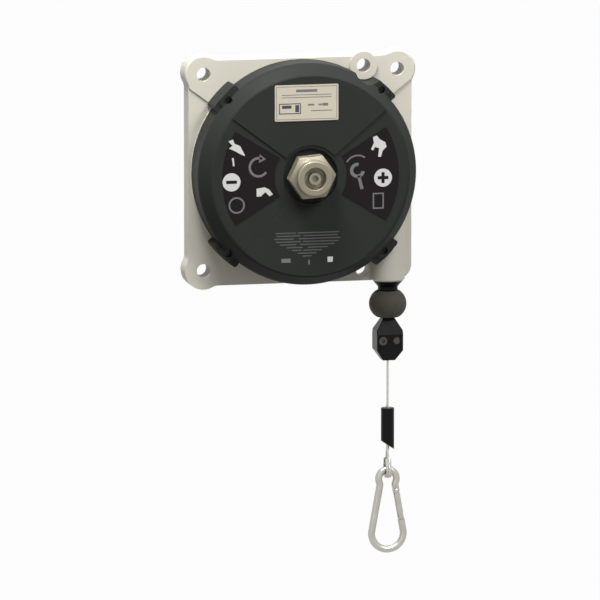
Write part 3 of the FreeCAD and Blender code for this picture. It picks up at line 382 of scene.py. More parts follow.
@dataclass(frozen=True)
class Turned(Finish):
    """Metal turned about the drum's axis.

    Attributes:
        pitch: Distance between two tool marks in metres.
        depth: Depth of the marks in metres.
        wear: How much lighter the handled places are.
    """

    pitch: float = 0.0004
    depth: float = 0.000012
    wear: float = 0.15
    sway: float = 0.16

    def surface(self, graph: Graph, place: Signal) -> Surface:
        """Rings of a cutting tool, with worn and dull places."""
        parts = graph.node("ShaderNodeSeparateXYZ", inputs={0: place})
        across, up = parts.output("X"), parts.output("Z")
        radius = (across * across + up * up) ** 0.5
        rings = 0.5 + 0.5 * ((radius + parts.output("Y")) * (2 * math.pi / self.pitch)).sine()
        dull = graph.noise(place, cells=90.0, detail=4.0)
        worn = graph.stepped(graph.noise(place, cells=420.0, detail=3.0), low=0.55, high=0.75)
        bright = shade(self.colour, 1 + 2 * self.wear)
        return {
            "Base Color": graph.between(worn * self.wear, self.tinted(graph, dull), bright),
            "Roughness": self.dulled(dull) - 0.06 * worn,
            "Normal": graph.relief(rings, self.depth),
        }


@dataclass(frozen=True)
class Plated(Finish):
    """Plated, blued or bare metal without a lay.

    Attributes:
        mottle_cells: Cells per metre of its clouds.
        pit_depth: Depth of its fine pits in metres.
    """

    mottle_cells: float = 160.0
    pit_depth: float = 0.00001

    def surface(self, graph: Graph, place: Signal) -> Surface:
        """Clouds in the plating over fine pits."""
        clouds = graph.noise(place, self.mottle_cells, detail=4.0)
        pits = graph.noise(place, cells=3200.0, detail=2.0)
        return {
            "Base Color": self.tinted(graph, clouds),
            "Roughness": self.dulled(clouds) + 0.05 * (pits - 0.5),
            "Normal": graph.relief(pits, self.pit_depth),
        }


@dataclass(frozen=True)
class Rubber(Finish):
    """Moulded rubber with a dusty bloom."""

    sway: float = 0.14

    def surface(self, graph: Graph, place: Signal) -> Surface:
        """Matt grain with a lighter bloom in patches."""
        bloom = graph.noise(place, cells=130.0, detail=5.0)
        grain = graph.noise(place, cells=1900.0, detail=3.0)
        return {
            "Base Color": self.tinted(graph, bloom),
            "Roughness": self.dulled(grain),
            "Normal": graph.relief(0.7 * grain + 0.3 * bloom, depth=0.00008),
        }


@dataclass(frozen=True)
class Strand(Finish):
    """Twisted wires, which follow the rope's own map.

    Attributes:
        wires: Wires seen round one strand.
        depth: Depth between two wires in metres.
    """

    wires: float = 6.0
    depth: float = 0.00006

    def surface(self, graph: Graph, place: Signal) -> Surface:
        """Round wires that wind about the strand, with painted shade in the gaps between them."""
        layout = graph.node("ShaderNodeUVMap", {"uv_map": "rope"})
        parts = graph.node("ShaderNodeSeparateXYZ", inputs={0: layout})
        turn = parts.output("X") * (2 * math.pi * self.wires) + parts.output("Y") * (2 * math.pi)
        crest = 0.5 + 0.5 * turn.sine()
        clouds = graph.noise(place, cells=240.0, detail=3.0)
        # Painted shade: the colour falls to half in the gaps between wires, and a faint painted highlight
        # lifts it on their crowns.
        dark = shade(self.colour, 0.5)
        return {
            "Base Color": graph.between(crest ** 0.5, dark, shade(self.colour, 1.05)),
            "Roughness": self.dulled(clouds),
            "Normal": graph.relief(crest, self.depth),
        }


CAST_PAINT = PaintedCasting("cast_paint", (0.56, 0.54, 0.46), 0.5, spread=0.06)
COVER_PAINT = Moulded("cover_paint", (0.027, 0.029, 0.027), 0.46, reflectance=0.04, spread=0.16)
BLACK_PLASTIC = Moulded(
    "black_plastic", (0.0045, 0.0045, 0.0042), 0.36, reflectance=0.08, spread=0.2,
    grain_cells=2800.0, grain_depth=0.00004,
)
GLOSS_PLASTIC = Moulded(
    "gloss_plastic", (0.0035, 0.0035, 0.0033), 0.3, reflectance=0.12, spread=0.2,
    grain_cells=2800.0, grain_depth=0.00002,
)
LABEL_FILM = Film("label_black", (0.0085, 0.0062, 0.007), 0.4, reflectance=0.12, spread=0.2)
WHITE_INK = Film("white_ink", (0.56, 0.56, 0.555), 0.5, spread=0.05)
GREY_INK = Film("grey_ink", (0.13, 0.13, 0.135), 0.5, spread=0.08)
DIM_INK = Film("dim_ink", (0.06, 0.062, 0.06), 0.55, spread=0.08)
DARK_INK = Film("dark_ink", (0.035, 0.036, 0.05), 0.5, spread=0.1)
PLATE = Brushed("plate_cream", (0.53, 0.48, 0.385), 0.42, metallic=0.15, spread=0.06)
RUBBER = Rubber("rubber_dark", (0.06, 0.0555, 0.0455), 0.75, reflectance=0.3, spread=0.18)
BRONZE = Turned("bronze_nut", (0.245, 0.22, 0.162), 0.44, metallic=0.35, spread=0.08)
STEEL = Plated("steel", (0.55, 0.55, 0.54), 0.32, metallic=1.0)
ZINC = Plated("zinc_hook", (0.46, 0.45, 0.41), 0.36, metallic=1.0, spread=0.1)
BLACK_STEEL = Plated("black_steel", (0.02, 0.02, 0.02), 0.4, metallic=0.5, spread=0.15)
# Lighter, brownish copy of the black steel: a painted highlight for the clamp's screws and nuts.
LIT_CLAMP_STEEL = Plated("lit_clamp_steel", (0.075, 0.068, 0.056), 0.38, metallic=0.5, spread=0.15)
SPRING_STEEL = Brushed(
    "spring_steel", (0.3, 0.31, 0.34), 0.32, metallic=1.0, stretch=(900.0, 60.0, 900.0)
)
DRUM_ALLOY = Turned("drum_alloy", (0.55, 0.56, 0.57), 0.4, metallic=1.0, spread=0.06)
SINTERED = Turned("bronze_bush", (0.5, 0.36, 0.18), 0.4, metallic=1.0, spread=0.1)
# The rope's strands carry painted shade in the gaps between their wires.
ROPE_WIRE = Strand("wire_rope", (0.74, 0.73, 0.7), 0.36, metallic=1.0)
WOUND_WIRE = Turned("wound_rope", (0.5, 0.5, 0.49), 0.35, metallic=1.0, pitch=0.0021, depth=0.0006)
ALLOY = Plated("alloy", (0.62, 0.62, 0.62), 0.36, metallic=1.0)

# Each of these is named after the record's slot that it dresses.
SLOT_FINISHES = {
    finish.name: finish
    for finish in (
        CAST_PAINT, COVER_PAINT, BLACK_PLASTIC, LABEL_FILM, PLATE, RUBBER, BRONZE, STEEL, ZINC,
        BLACK_STEEL, SPRING_STEEL, DRUM_ALLOY, SINTERED, ALLOY,
    )
}
SLOT_FINISHES["wire_rope"] = WOUND_WIRE


# -------- modelling steps


def take(piece: Piece) -> None:
    """Makes a piece the only one selected."""
    bpy.ops.object.select_all(action="DESELECT")
    piece.select_set(True)
    bpy.context.view_layer.objects.active = piece


def edit(piece: Piece) -> None:
    """Opens a piece for editing with nothing selected."""
    take(piece)
    bpy.ops.object.mode_set(mode="EDIT")
    bpy.ops.mesh.select_all(action="DESELECT")


def close() -> None:
    """Ends editing."""
    bpy.ops.object.mode_set(mode="OBJECT")


def finish_modifiers(piece: Piece) -> None:
    """Applies every modifier of a piece in turn."""
    take(piece)
    for modifier in list(piece.modifiers):
        bpy.ops.object.modifier_apply(modifier=modifier.name)


def dress(piece: Piece, finish: Finish) -> None:
    """Gives a piece one finish all over."""
    if not piece.material_slots:
        piece.data.materials.append(finish.material())
    for slot in piece.material_slots:
        slot.material = finish.material()


def dress_nodes(*names: str, finish: Finish | None = None) -> None:
    """Gives frame nodes a finish, or else that of their own material slot."""
    for name in names:
        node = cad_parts[name]
        slot = node.material_slots[0].material.name.split(".")[0]
        chosen = finish or SLOT_FINISHES[slot]
        dress(node, chosen)
        LOG.info("node %s: %s", name, chosen.name)


def add_piece(piece: Piece, body: Body | None, finish: Finish) -> None:
    """Dresses a new piece and lets it ride on a body.

    Args:
        piece: The finished piece.
        body: The body that it moves with, or None to leave it on no body, as for a piece between two.
        finish: Its finish.
    """
    dress(piece, finish)
    if body is not None:
        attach(piece, body.value)
    LOG.info("piece %s: %d faces", piece.name, len(piece.data.polygons))


@dataclass(frozen=True)
class SoftEdges:
    """Rounded edges for a hard-edged form.

    Attributes:
        width: Width of the rounding in metres.
        steps: Facets across a rounding.
        corner: Smallest angle in degrees that counts as an edge.
        flat: Largest angle in degrees between facets of one face.
        weld: Distance in metres at which loose corners are joined.
    """

    width: float
    steps: int = 3
    corner: float = 28.0
    flat: float = 0.3
    weld: float = 2e-6

    def copy_of(self, node: str, name: str) -> Piece:
        """Copies a frame node, joins its loose faces, rounds its edges and smooths its shading.

        Args:
            node: The node to copy.
            name: Name of the new piece.

        Returns:
            The new piece, with its place in its mesh.
        """
        piece = bpy.data.objects.new(name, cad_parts[node].data.copy())
        bpy.context.scene.collection.objects.link(piece)
        edit(piece)
        bpy.ops.mesh.customdata_custom_splitnormals_clear()
        bpy.ops.mesh.select_all(action="SELECT")
        bpy.ops.mesh.remove_doubles(threshold=self.weld)
        bpy.ops.mesh.dissolve_limited(angle_limit=math.radians(self.flat))
        close()
        bevel = piece.modifiers.new("soft_edges", "BEVEL")
        bevel.width = self.width
        bevel.segments = self.steps
        bevel.limit_method = "ANGLE"
        bevel.angle_limit = math.radians(self.corner)
        bevel.use_clamp_overlap = False
        bevel.miter_outer = "MITER_ARC"
        finish_modifiers(piece)
        smooth(piece)
        return piece


def smooth(piece: Piece, sharp: float = 42.0) -> None:
    """Smooth shading up to a sharp angle, led by the large faces."""
    take(piece)
    bpy.ops.object.shade_smooth_by_angle(angle=math.radians(sharp))
    weighted = piece.modifiers.new("weighted", "WEIGHTED_NORMAL")
    weighted.keep_sharp = True
    finish_modifiers(piece)


# -------- printed marks


@dataclass
class Stencil:
    """Flat marks in millimetres as closed outlines; an outline inside another one is a hole.

    Attributes:
        outlines: Corner points of each outline, as (x, z).
    """

    outlines: list[list[Spot]] = field(default_factory=list)

    def outline(self, points: Iterable[Spot]) -> "Stencil":
        """Adds a closed outline."""
        self.outlines.append(list(points))
        return self

    def disc(self, x: float, z: float, radius: float) -> "Stencil":
        """Adds a full circle."""
        return self.outline(circle_points(x, z, radius, 0.0, 360.0)[:-1])

    def ring(self, x: float, z: float, radius: float, line: float) -> "Stencil":
        """Adds a circle drawn with a line."""
        return self.disc(x, z, radius + line / 2).disc(x, z, radius - line / 2)

    def arc(self, x: float, z: float, radius: float, line: float, start: float, end: float) -> "Stencil":
        """Adds an arc drawn with a line.

        Args:
            x: Centre across.
            z: Centre upwards.
            radius: Radius of the line's middle.
            line: Width of the line.
            start: First angle in degrees.
            end: Last angle in degrees.

        Returns:
            The stencil.
        """
        outer = circle_points(x, z, radius + line / 2, start, end)
        inner = circle_points(x, z, radius - line / 2, end, start)
        return self.outline(outer + inner)

    def bar(self, x: float, z: float, length: float, width: float, turn: float = 0.0) -> "Stencil":
        """Adds a rectangle about its centre, turned by an angle in degrees."""
        c, s = math.cos(math.radians(turn)), math.sin(math.radians(turn))
        corners = [(-length, -width), (length, -width), (length, width), (-length, width)]
        return self.outline([(x + (a * c - b * s) / 2, z + (a * s + b * c) / 2) for a, b in corners])

    def frame(self, x: float, z: float, width: float, height: float, line: float) -> "Stencil":
        """Adds a rectangle drawn with a line."""
        return self.bar(x, z, width, height).bar(x, z, width - 2 * line, height - 2 * line)

    def printed(self, name: str, face: float, thickness: float = 0.05) -> Piece:
        """Makes the marks a thin print on a face that looks to the front.

        Args:
            name: Name of the new piece.
            face: Place of the face along Y, in millimetres.
            thickness: Thickness of the print in millimetres.

        Returns:
            The print.
        """
        curve = bpy.data.curves.new(name, "CURVE")
        curve.dimensions = "2D"
        curve.fill_mode = "BOTH"
        curve.extrude = thickness / 2
        for points in self.outlines:
            spline = curve.splines.new("POLY")
            spline.points.add(len(points) - 1)
            for point, (x, z) in zip(spline.points, points):
                point.co = (x, z, 0.0, 1.0)
            spline.use_cyclic_u = True
        piece = bpy.data.objects.new(name, curve)
        bpy.context.scene.collection.objects.link(piece)
        take(piece)
        bpy.ops.object.convert(target="MESH")
        piece = bpy.context.view_layer.objects.active
        piece.scale = (MM, MM, MM)
        piece.rotation_euler = (math.pi / 2, 0.0, 0.0)
        piece.location = (0.0, (face - thickness / 2) * MM, 0.0)
        bpy.ops.object.transform_apply(location=True, rotation=True, scale=True)
        return piece


def circle_points(x: float, z: float, radius: float, start: float, end: float) -> list[Spot]:
    """Points on an arc, about one at each step of the angle."""
    count = max(4, round(abs(end - start) / ARC_STEP))
    angles = [math.radians(start + (end - start) * i / count) for i in range(count + 1)]
    return [(x + radius * math.cos(a), z + radius * math.sin(a)) for a in angles]


# -------- wire rope


def nurbs_line(route: Sequence[Vector]) -> list[Vector]:
    """Points down the smooth NURBS line of a route.

    Args:
        route: Control points in metres.

    Returns:
        Points along the line.
    """
    curve = bpy.data.curves.new("route", "CURVE")
    curve.dimensions = "3D"
    curve.resolution_u = 24
    spline = curve.splines.new("NURBS")
    spline.points.add(len(route) - 1)
    for point, corner in zip(spline.points, route):
        point.co = (*corner, 1.0)
    spline.order_u = 3
    spline.use_endpoint_u = True
    holder = bpy.data.objects.new("route", curve)
    mesh = bpy.data.meshes.new_from_object(holder)
    line = [vertex.co.copy() for vertex in mesh.vertices]
    bpy.data.meshes.remove(mesh)
    bpy.data.objects.remove(holder)
    bpy.data.curves.remove(curve)
    return line


@dataclass(frozen=True)
class WireRope:
    """Round rope of twisted strands about a core.

    Attributes:
        radius: Radius of the rope in metres.
        strands: Outer strands.
        lay: Length in which a strand goes round once, in metres.
        step: Distance between two rings of points, in metres.
        sides: Corners of a strand's section.
        swell: Radius of a strand as a share of a third of the rope's, so that strands touch.
    """

    radius: float = 0.001
    strands: int = 6
    lay: float = 0.013
    step: float = 0.0006
    sides: int = 8
    swell: float = 1.04

    def along(self, name: str, line: Sequence[Vector]) -> Piece:
        """Lays the rope along a line.

        Args:
            name: Name of the new piece.
            line: Points down the rope's middle.

        Returns:
            The rope's mesh, with a map named rope.
        """
        shape = bmesh.new()
        layout = shape.loops.layers.uv.new("rope")
        spots = self._spaced(line)
        frames = self._frames(spots)
        third = self.radius / 3
        for strand in range(-1, self.strands):
            reach = 0.0 if strand < 0 else 2 * third
            start = 2 * math.pi * strand / self.strands
            centres = []
            for i, (spot, side, up) in enumerate(zip(spots, *frames)):
                turn = start + 2 * math.pi * i * self.step / self.lay
                centres.append(spot + (side * math.cos(turn) + up * math.sin(turn)) * reach)
            self._strand(shape, layout, centres, frames, third * self.swell)
        mesh = bpy.data.meshes.new(name)
        shape.to_mesh(mesh)
        shape.free()
        piece = bpy.data.objects.new(name, mesh)
        bpy.context.scene.collection.objects.link(piece)
        take(piece)
        bpy.ops.object.shade_smooth()
        return piece

    def _spaced(self, line: Sequence[Vector]) -> list[Vector]:
        """The line again with points one step apart, and with its last point."""
        spots, rest = [line[0].copy()], self.step
        for start, end in zip(line, line[1:]):
            run = (end - start).length
            while run > 1e-9 and rest <= run:
                spots.append(start.lerp(end, rest / run))
                rest += self.step
            rest -= run
        if (spots[-1] - line[-1]).length > self.step / 4:
            spots.append(line[-1].copy())
        return spots

    @staticmethod
    def _frames(spots: Sequence[Vector]) -> tuple[list[Vector], list[Vector]]:
        """Two directions across the line at each point, which don't twist about it."""
        sides, ups = [], []
        last = (spots[1] - spots[0]).normalized()
        side = last.orthogonal().normalized()
        for i in range(len(spots)):
            ahead = spots[min(i + 1, len(spots) - 1)] - spots[max(i - 1, 0)]
            ahead.normalize()
            side = last.rotation_difference(ahead) @ side
            side = (side - ahead * side.dot(ahead)).normalized()
            last = ahead
            sides.append(side.copy())
            ups.append(ahead.cross(side))
        return sides, ups

    def _strand(
        self,
        shape: bmesh.types.BMesh,
        layout: bmesh.types.BMLayerItem,
        centres: Sequence[Vector],
        frames: tuple[list[Vector], list[Vector]],
        radius: float,
    ) -> None:
        """Adds one closed strand to the rope's mesh.

        Args:
            shape: Mesh that gets the strand.
            layout: Its map.
            centres: Points down the strand's middle.
            frames: Directions across the rope at each point.
            radius: Radius of the strand.
        """
        angles = [2 * math.pi * k / self.sides for k in range(self.sides)]
        rings = []
        for centre, side, up in zip(centres, *frames):
            rim = [centre + (side * math.cos(a) + up * math.sin(a)) * radius for a in angles]
            rings.append([shape.verts.new(point) for point in rim])
        for i, (ring, following) in enumerate(zip(rings, rings[1:])):
            for k in range(self.sides):
                n = (k + 1) % self.sides
                face = shape.faces.new((ring[k], ring[n], following[n], following[k]))
                marks = ((k, i), (k + 1, i), (k + 1, i + 1), (k, i + 1))
                for loop, (u, v) in zip(face.loops, marks):
                    loop[layout].uv = (u / self.sides, v * self.step / (self.lay / 2))
        shape.faces.new(list(reversed(rings[0])))
        shape.faces.new(rings[-1])


# -------- studio


@dataclass(frozen=True)
class Lamp:
    """A soft square lamp.

    Attributes:
        name: Its name.
        place: Where it stands, in metres.
        aim: The point that it looks at.
        size: Its side in metres.
        power: Its power in watts.
    """

    name: str
    place: Point
    aim: Point
    size: float
    power: float

    def build(self) -> None:
        """Adds the lamp to the scene."""
        data = bpy.data.lights.new(self.name, "AREA")
        data.shape = "SQUARE"
        data.size = self.size
        data.energy = self.power
        lamp = bpy.data.objects.new(self.name, data)
        lamp.location = self.place
        toward = Vector(self.aim) - Vector(self.place)
        lamp.rotation_mode = "QUATERNION"
        lamp.rotation_quaternion = toward.to_track_quat("-Z", "Y")
        bpy.context.scene.collection.objects.link(lamp)


@dataclass(frozen=True)
class Studio:
    """Pale floor, soft light and camera.

    Attributes:
        azimuth: Angle of the camera to the left of the front, in degrees.
        elevation: Angle of the camera above level, in degrees.
        distance: Distance from the camera to its aim, in metres.
        lens: Focal length in millimetres.
        middle: Point on the drum's axis, level with the rope.
        shift: Aim right of and above that point, as seen by the camera, in metres.
        film: Width of the camera's film in millimetres.
        floor_height: Height of the floor in metres, below the hook of a rope pulled right out.
        floor_radius: Radius of the floor in metres.
        floor_cells: Cells per metre of its clouds.
        floor_chalk: Its two colours.
        floor_white: Share of plain white where it is seen.
        ambient: Light from all sides.
        lamps: The lamps.
    """

    azimuth: float = -13.0
    elevation: float = 9.0
    distance: float = 7.868
    lens: float = 600.0
    middle: Point = (0.0, -0.018, 0.0)
    shift: Spot = (-0.0005, -0.1024)
    film: float = 36.0
    floor_height: float = -2.45
    floor_radius: float = 30.0
    floor_cells: float = 4.0
    floor_chalk: tuple[Colour, Colour] = ((0.78, 0.78, 0.77), (0.8, 0.8, 0.79))
    floor_white: float = 0.97
    ambient: float = 0.26
    lamps: tuple[Lamp, ...] = (
        Lamp("key", (0.85, -1.55, 1.6), (0.0, 0.0, -0.05), 0.8, 37.0),
        Lamp("fill", (-1.3, -2.0, 0.2), (0.0, 0.0, -0.05), 1.4, 3.0),
        Lamp("top", (-0.35, -0.4, 1.4), (0.0, -0.03, 0.0), 0.45, 36.0),
    )

    def build(self) -> None:
        """Makes world, floor, lamps and camera."""
        scene = bpy.context.scene
        scene.view_settings.view_transform = "Standard"
        self._world()
        self._floor()
        for lamp in self.lamps:
            lamp.build()
        self._camera()
        LOG.info("studio: %d lamps", len(self.lamps))

    def _world(self) -> None:
        """Plain ambient light that looks white where it is seen."""
        world = bpy.data.worlds.new("studio")
        world.use_nodes = True
        bpy.context.scene.world = world
        graph = Graph(world.node_tree)
        strength = self.ambient + (1.0 - self.ambient) * graph.seen_directly()
        inputs = {"Color": WHITE, "Strength": strength}
        light = graph.node("ShaderNodeBackground", inputs=inputs)
        graph.node("ShaderNodeOutputWorld", inputs={"Surface": light})

    def _floor(self) -> None:
        """Large pale disc below the object."""
        bpy.ops.object.select_all(action="DESELECT")
        bpy.ops.mesh.primitive_circle_add(
            vertices=96, radius=self.floor_radius, fill_type="NGON", location=(0.0, 0.0, self.floor_height)
        )
        floor = bpy.context.view_layer.objects.active
        floor.name = "floor"
        bpy.ops.object.transform_apply(location=True, rotation=True, scale=True)
        material = bpy.data.materials.new("floor")
        material.use_nodes = True
        graph = Graph(material.node_tree)
        clouds = graph.noise(graph.place(), self.floor_cells)
        chalk = graph.between(clouds, *self.floor_chalk)
        matt = graph.node("ShaderNodeBsdfDiffuse", inputs={"Color": chalk})
        bright = graph.node("ShaderNodeEmission", inputs={"Color": WHITE, "Strength": 1.0})
        share = graph.seen_directly() * self.floor_white
        mixed = graph.node("ShaderNodeMixShader", inputs={0: share, 1: matt, 2: bright})
        graph.node("ShaderNodeOutputMaterial", inputs={"Surface": mixed})
        floor.data.materials.append(material)

    def _camera(self) -> None:
        """Camera at its angle, aimed below the drum's axis."""
        a, e = math.radians(self.azimuth), math.radians(self.elevation)
        back = Vector((math.sin(a) * math.cos(e), -math.cos(a) * math.cos(e), math.sin(e)))
        right = Vector((0.0, 0.0, 1.0)).cross(back).normalized()
        up = back.cross(right)
        aim = Vector(self.middle) + right * self.shift[0] + up * self.shift[1]
        data = bpy.data.cameras.new("camera")
        data.sensor_width = self.film
        data.lens = self.lens
        data.clip_start = 0.1
        data.clip_end = 100.0
        camera = bpy.data.objects.new("camera", data)
        turned = Matrix((right, up, back)).transposed().to_4x4()
        camera.matrix_world = Matrix.Translation(aim + back * self.distance) @ turned
        bpy.context.scene.collection.objects.link(camera)
        bpy.context.scene.camera = camera


# -------- sub-assemblies


@dataclass
class LoadRope:
    """The wire rope that leaves the housing, with the length above its eye.

    Attributes:
        x: Place across, in metres.
        y: Place along the drum's axis.
        fall_top: Height at which the rope leaves the drum.
        fall_bottom: Height of the stop clamp's top.
        clamp_bottom: Height at which the rope leaves the clamp.
        tail_bottom: Height at which it ends in the ferrule.
        fall_guides: Heights between the ends of the upper length.
        tail_guides: Heights between the ends of the lower length.
        rope: The rope itself.
    """

    x: float = 0.0706
    y: float = -0.018
    fall_top: float = 0.0
    fall_bottom: float = -0.1192
    clamp_bottom: float = -0.1538
    tail_bottom: float = -0.20435
    fall_guides: tuple[float, ...] = (-0.04, -0.08)
    tail_guides: tuple[float, ...] = (-0.17, -0.187)
    rope: WireRope = WireRope()

    def _spot(self, z: float) -> Vector:
        """Point on the rope's line at a height."""
        return Vector((self.x, self.y, z))

    def build(self) -> None:
        """Makes the rope's two lengths."""
        self.build_tail()
        self.build_fall()

    def build_tail(self) -> None:
        """The length between the stop clamp and the eye."""
        heights = (self.clamp_bottom, *self.tail_guides, self.tail_bottom)
        line = nurbs_line([self._spot(z) for z in heights])
        tail = self.rope.along("rope_tail_strands", line)
        add_piece(tail, Body.LOAD_LINE, ROPE_WIRE)
        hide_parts("rope_tail")

    def build_fall(self) -> None:
        """The length from the drum to the stop clamp, made at one length on no body; on the balancer it
        grows as the tool is pulled down.
        """
        heights = (self.fall_top, *self.fall_guides, self.fall_bottom)
        line = nurbs_line([self._spot(z) for z in heights])
        fall = self.rope.along("rope_fall_strands", line)
        add_piece(fall, None, ROPE_WIRE)
        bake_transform(fall)
        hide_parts("rope_fall")


@dataclass
class RopeEnd:
    """Sleeve, ferrule, eye and thimble at the rope's end.

    Attributes:
        eye_z: Height of the eye's middle in metres.
        route: Half of the eye's route from its top, as (out, up) in millimetres from its middle.
        sleeve_edges: Rounding of the sleeve.
    """

    eye_z: float = -0.2422
    route: tuple[Spot, ...] = (
        (1.05, 33.9), (1.05, 29.0), (1.05, 23.5), (1.05, 18.4), (2.74, 12.1),
        (4.56, 5.4), (6.0, 0.0), (5.2, -3.0), (3.0, -5.2), (0.0, -6.0),
    )
    sleeve_edges: SoftEdges = SoftEdges(0.0006)

    def build(self) -> None:
        """Makes the sleeve, the ferrule and the eye."""
        sleeve = self.sleeve_edges.copy_of("ferrule_sleeve", "sleeve")
        add_piece(sleeve, Body.LOAD_LINE, GLOSS_PLASTIC)
        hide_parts("ferrule_sleeve")
        left = list(self.route)
        right = [(-out, up) for out, up in reversed(left[:-1])]
        rope = LoadRope()
        spots = [Vector((rope.x, rope.y + y * MM, self.eye_z + z * MM)) for y, z in left + right]
        eye = rope.rope.along("rope_eye_strands", nurbs_line(spots))
        add_piece(eye, Body.LOAD_LINE, ROPE_WIRE)
        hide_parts("rope_eye")
        dress_nodes("crimp_ferrule", "thimble")


class Housing:
    """The square cast housing on the wall."""

    def build(self) -> None:
        """Dresses the casting."""
        dress_nodes("base_housing")


@dataclass
class Cover:
    """The round cover with its screws and its faint print.

    Attributes:
        rules: Faint printed rules as (z, half width) about rules_x, in millimetres.
        rules_x: Middle of the rules.
        rule_line: Width of a rule's line.
        whole_below: Largest half width of a rule that has no gap.
        half_gaps: Half widths of the gaps, in turn.
        gap_step: How far every other gap lies to the right.
        blocks: Grey blocks below the rules, each as (x, z, length, height).
        stamp: The white block beside them.
    """

    rules: tuple[Spot, ...] = (
        (-44.6, 25.5), (-46.9, 24.6), (-49.2, 26.6), (-51.5, 25.0), (-53.8, 22.0),
        (-56.1, 16.5), (-58.4, 12.0), (-60.7, 7.5), (-63.0, 3.5),
    )
    rules_x: float = -3.0
    rule_line: float = 0.9
    whole_below: float = 10.0
    half_gaps: Mark = (0.75, 1.375, 2.0)
    gap_step: float = 4.0
    blocks: tuple[Mark, ...] = ((-20.1, -66.3, 7.4, 3.2), (-1.5, -68.0, 1.2, 3.6))
    stamp: Mark = (15.5, -66.3, 4.2, 4.2)

    def build(self) -> None:
        """Dresses the moulding and its screws and adds the print."""
        dress_nodes("front_cover", "cover_screws")
        self._rules()

    def _rules(self) -> None:
        """Blank ruled lines, most with a gap, and three small blank blocks below them."""
        lines = Stencil()
        for i, (z, half) in enumerate(self.rules):
            if half <= self.whole_below:
                lines.bar(self.rules_x, z, 2 * half, self.rule_line)
                continue
            half_gap = self.half_gaps[i % len(self.half_gaps)]
            middle = self.rules_x - half / 3 + self.gap_step * (i % 2)
            spans = (
                (self.rules_x - half, middle - half_gap),
                (middle + half_gap, self.rules_x + half),
            )
            for start, end in spans:
                lines.bar((start + end) / 2, z, end - start, self.rule_line)
        print_piece(lines, "cover_rules", "front_cover", DIM_INK)
        marks = Stencil()
        for block in self.blocks:
            marks.bar(*block)
        print_piece(marks, "cover_marks", "front_cover", GREY_INK)
        print_piece(Stencil().bar(*self.stamp), "cover_stamp", "front_cover", WHITE_INK)


def print_piece(marks: Stencil, name: str, node: str, ink: Finish) -> None:
    """Adds a print to the foremost face of a frame node, with an ink, riding on the housing."""
    lowest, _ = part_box(node)
    add_piece(marks.printed(name, lowest.y / MM), Body.HOUSING, ink)


@dataclass
class NamePlate:
    """The small plate at the top, with blank fields where its words would be.

    Its marks are (across, up, length, height) from the plate's lower left corner, in millimetres,
    and a drawn rectangle has its line's width as a fifth number.

    Attributes:
        border: The printed frame.
        fields: Blank fields in it.
        box: The boxed field.
        box_fields: Blank fields in the box.
    """

    border: Mark = (25.5, 14.2, 48.6, 26.1, 0.35)
    fields: tuple[Mark, ...] = (
        (25.5, 23.8, 17.0, 2.1), (25.5, 20.6, 40.0, 0.5), (25.5, 18.6, 40.0, 0.5), (29.0, 12.6, 5.0, 1.3),
        (36.5, 12.6, 3.0, 1.3), (40.5, 12.6, 4.4, 2.2), (37.5, 7.9, 17.0, 0.6),
    )
    box: Mark = (12.1, 9.8, 17.6, 8.4, 0.7)
    box_fields: tuple[Mark, ...] = ((9.5, 11.2, 7.6, 2.4), (17.9, 9.8, 3.2, 5.6))

    def build(self) -> None:
        """Dresses the plate and prints its two rectangles with their fields."""
        dress_nodes("name_plate")
        self._print("plate_print", self.border, self.fields, GREY_INK)
        self._print("plate_field", self.box, self.box_fields, DARK_INK)

    def _print(self, name: str, outer: Mark, fields: Iterable[Mark], ink: Finish) -> None:
        """Prints a drawn rectangle and the blank fields in it.

        Args:
            name: Name of the new piece.
            outer: The rectangle.
            fields: The fields.
            ink: Finish of the print.
        """
        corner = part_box("name_plate")[0] / MM
        across, up, *sizes = outer
        marks = Stencil().frame(corner.x + across, corner.z + up, *sizes)
        for across, up, length, height in fields:
            marks.bar(corner.x + across, corner.z + up, length, height)
        print_piece(marks, name, "name_plate", ink)


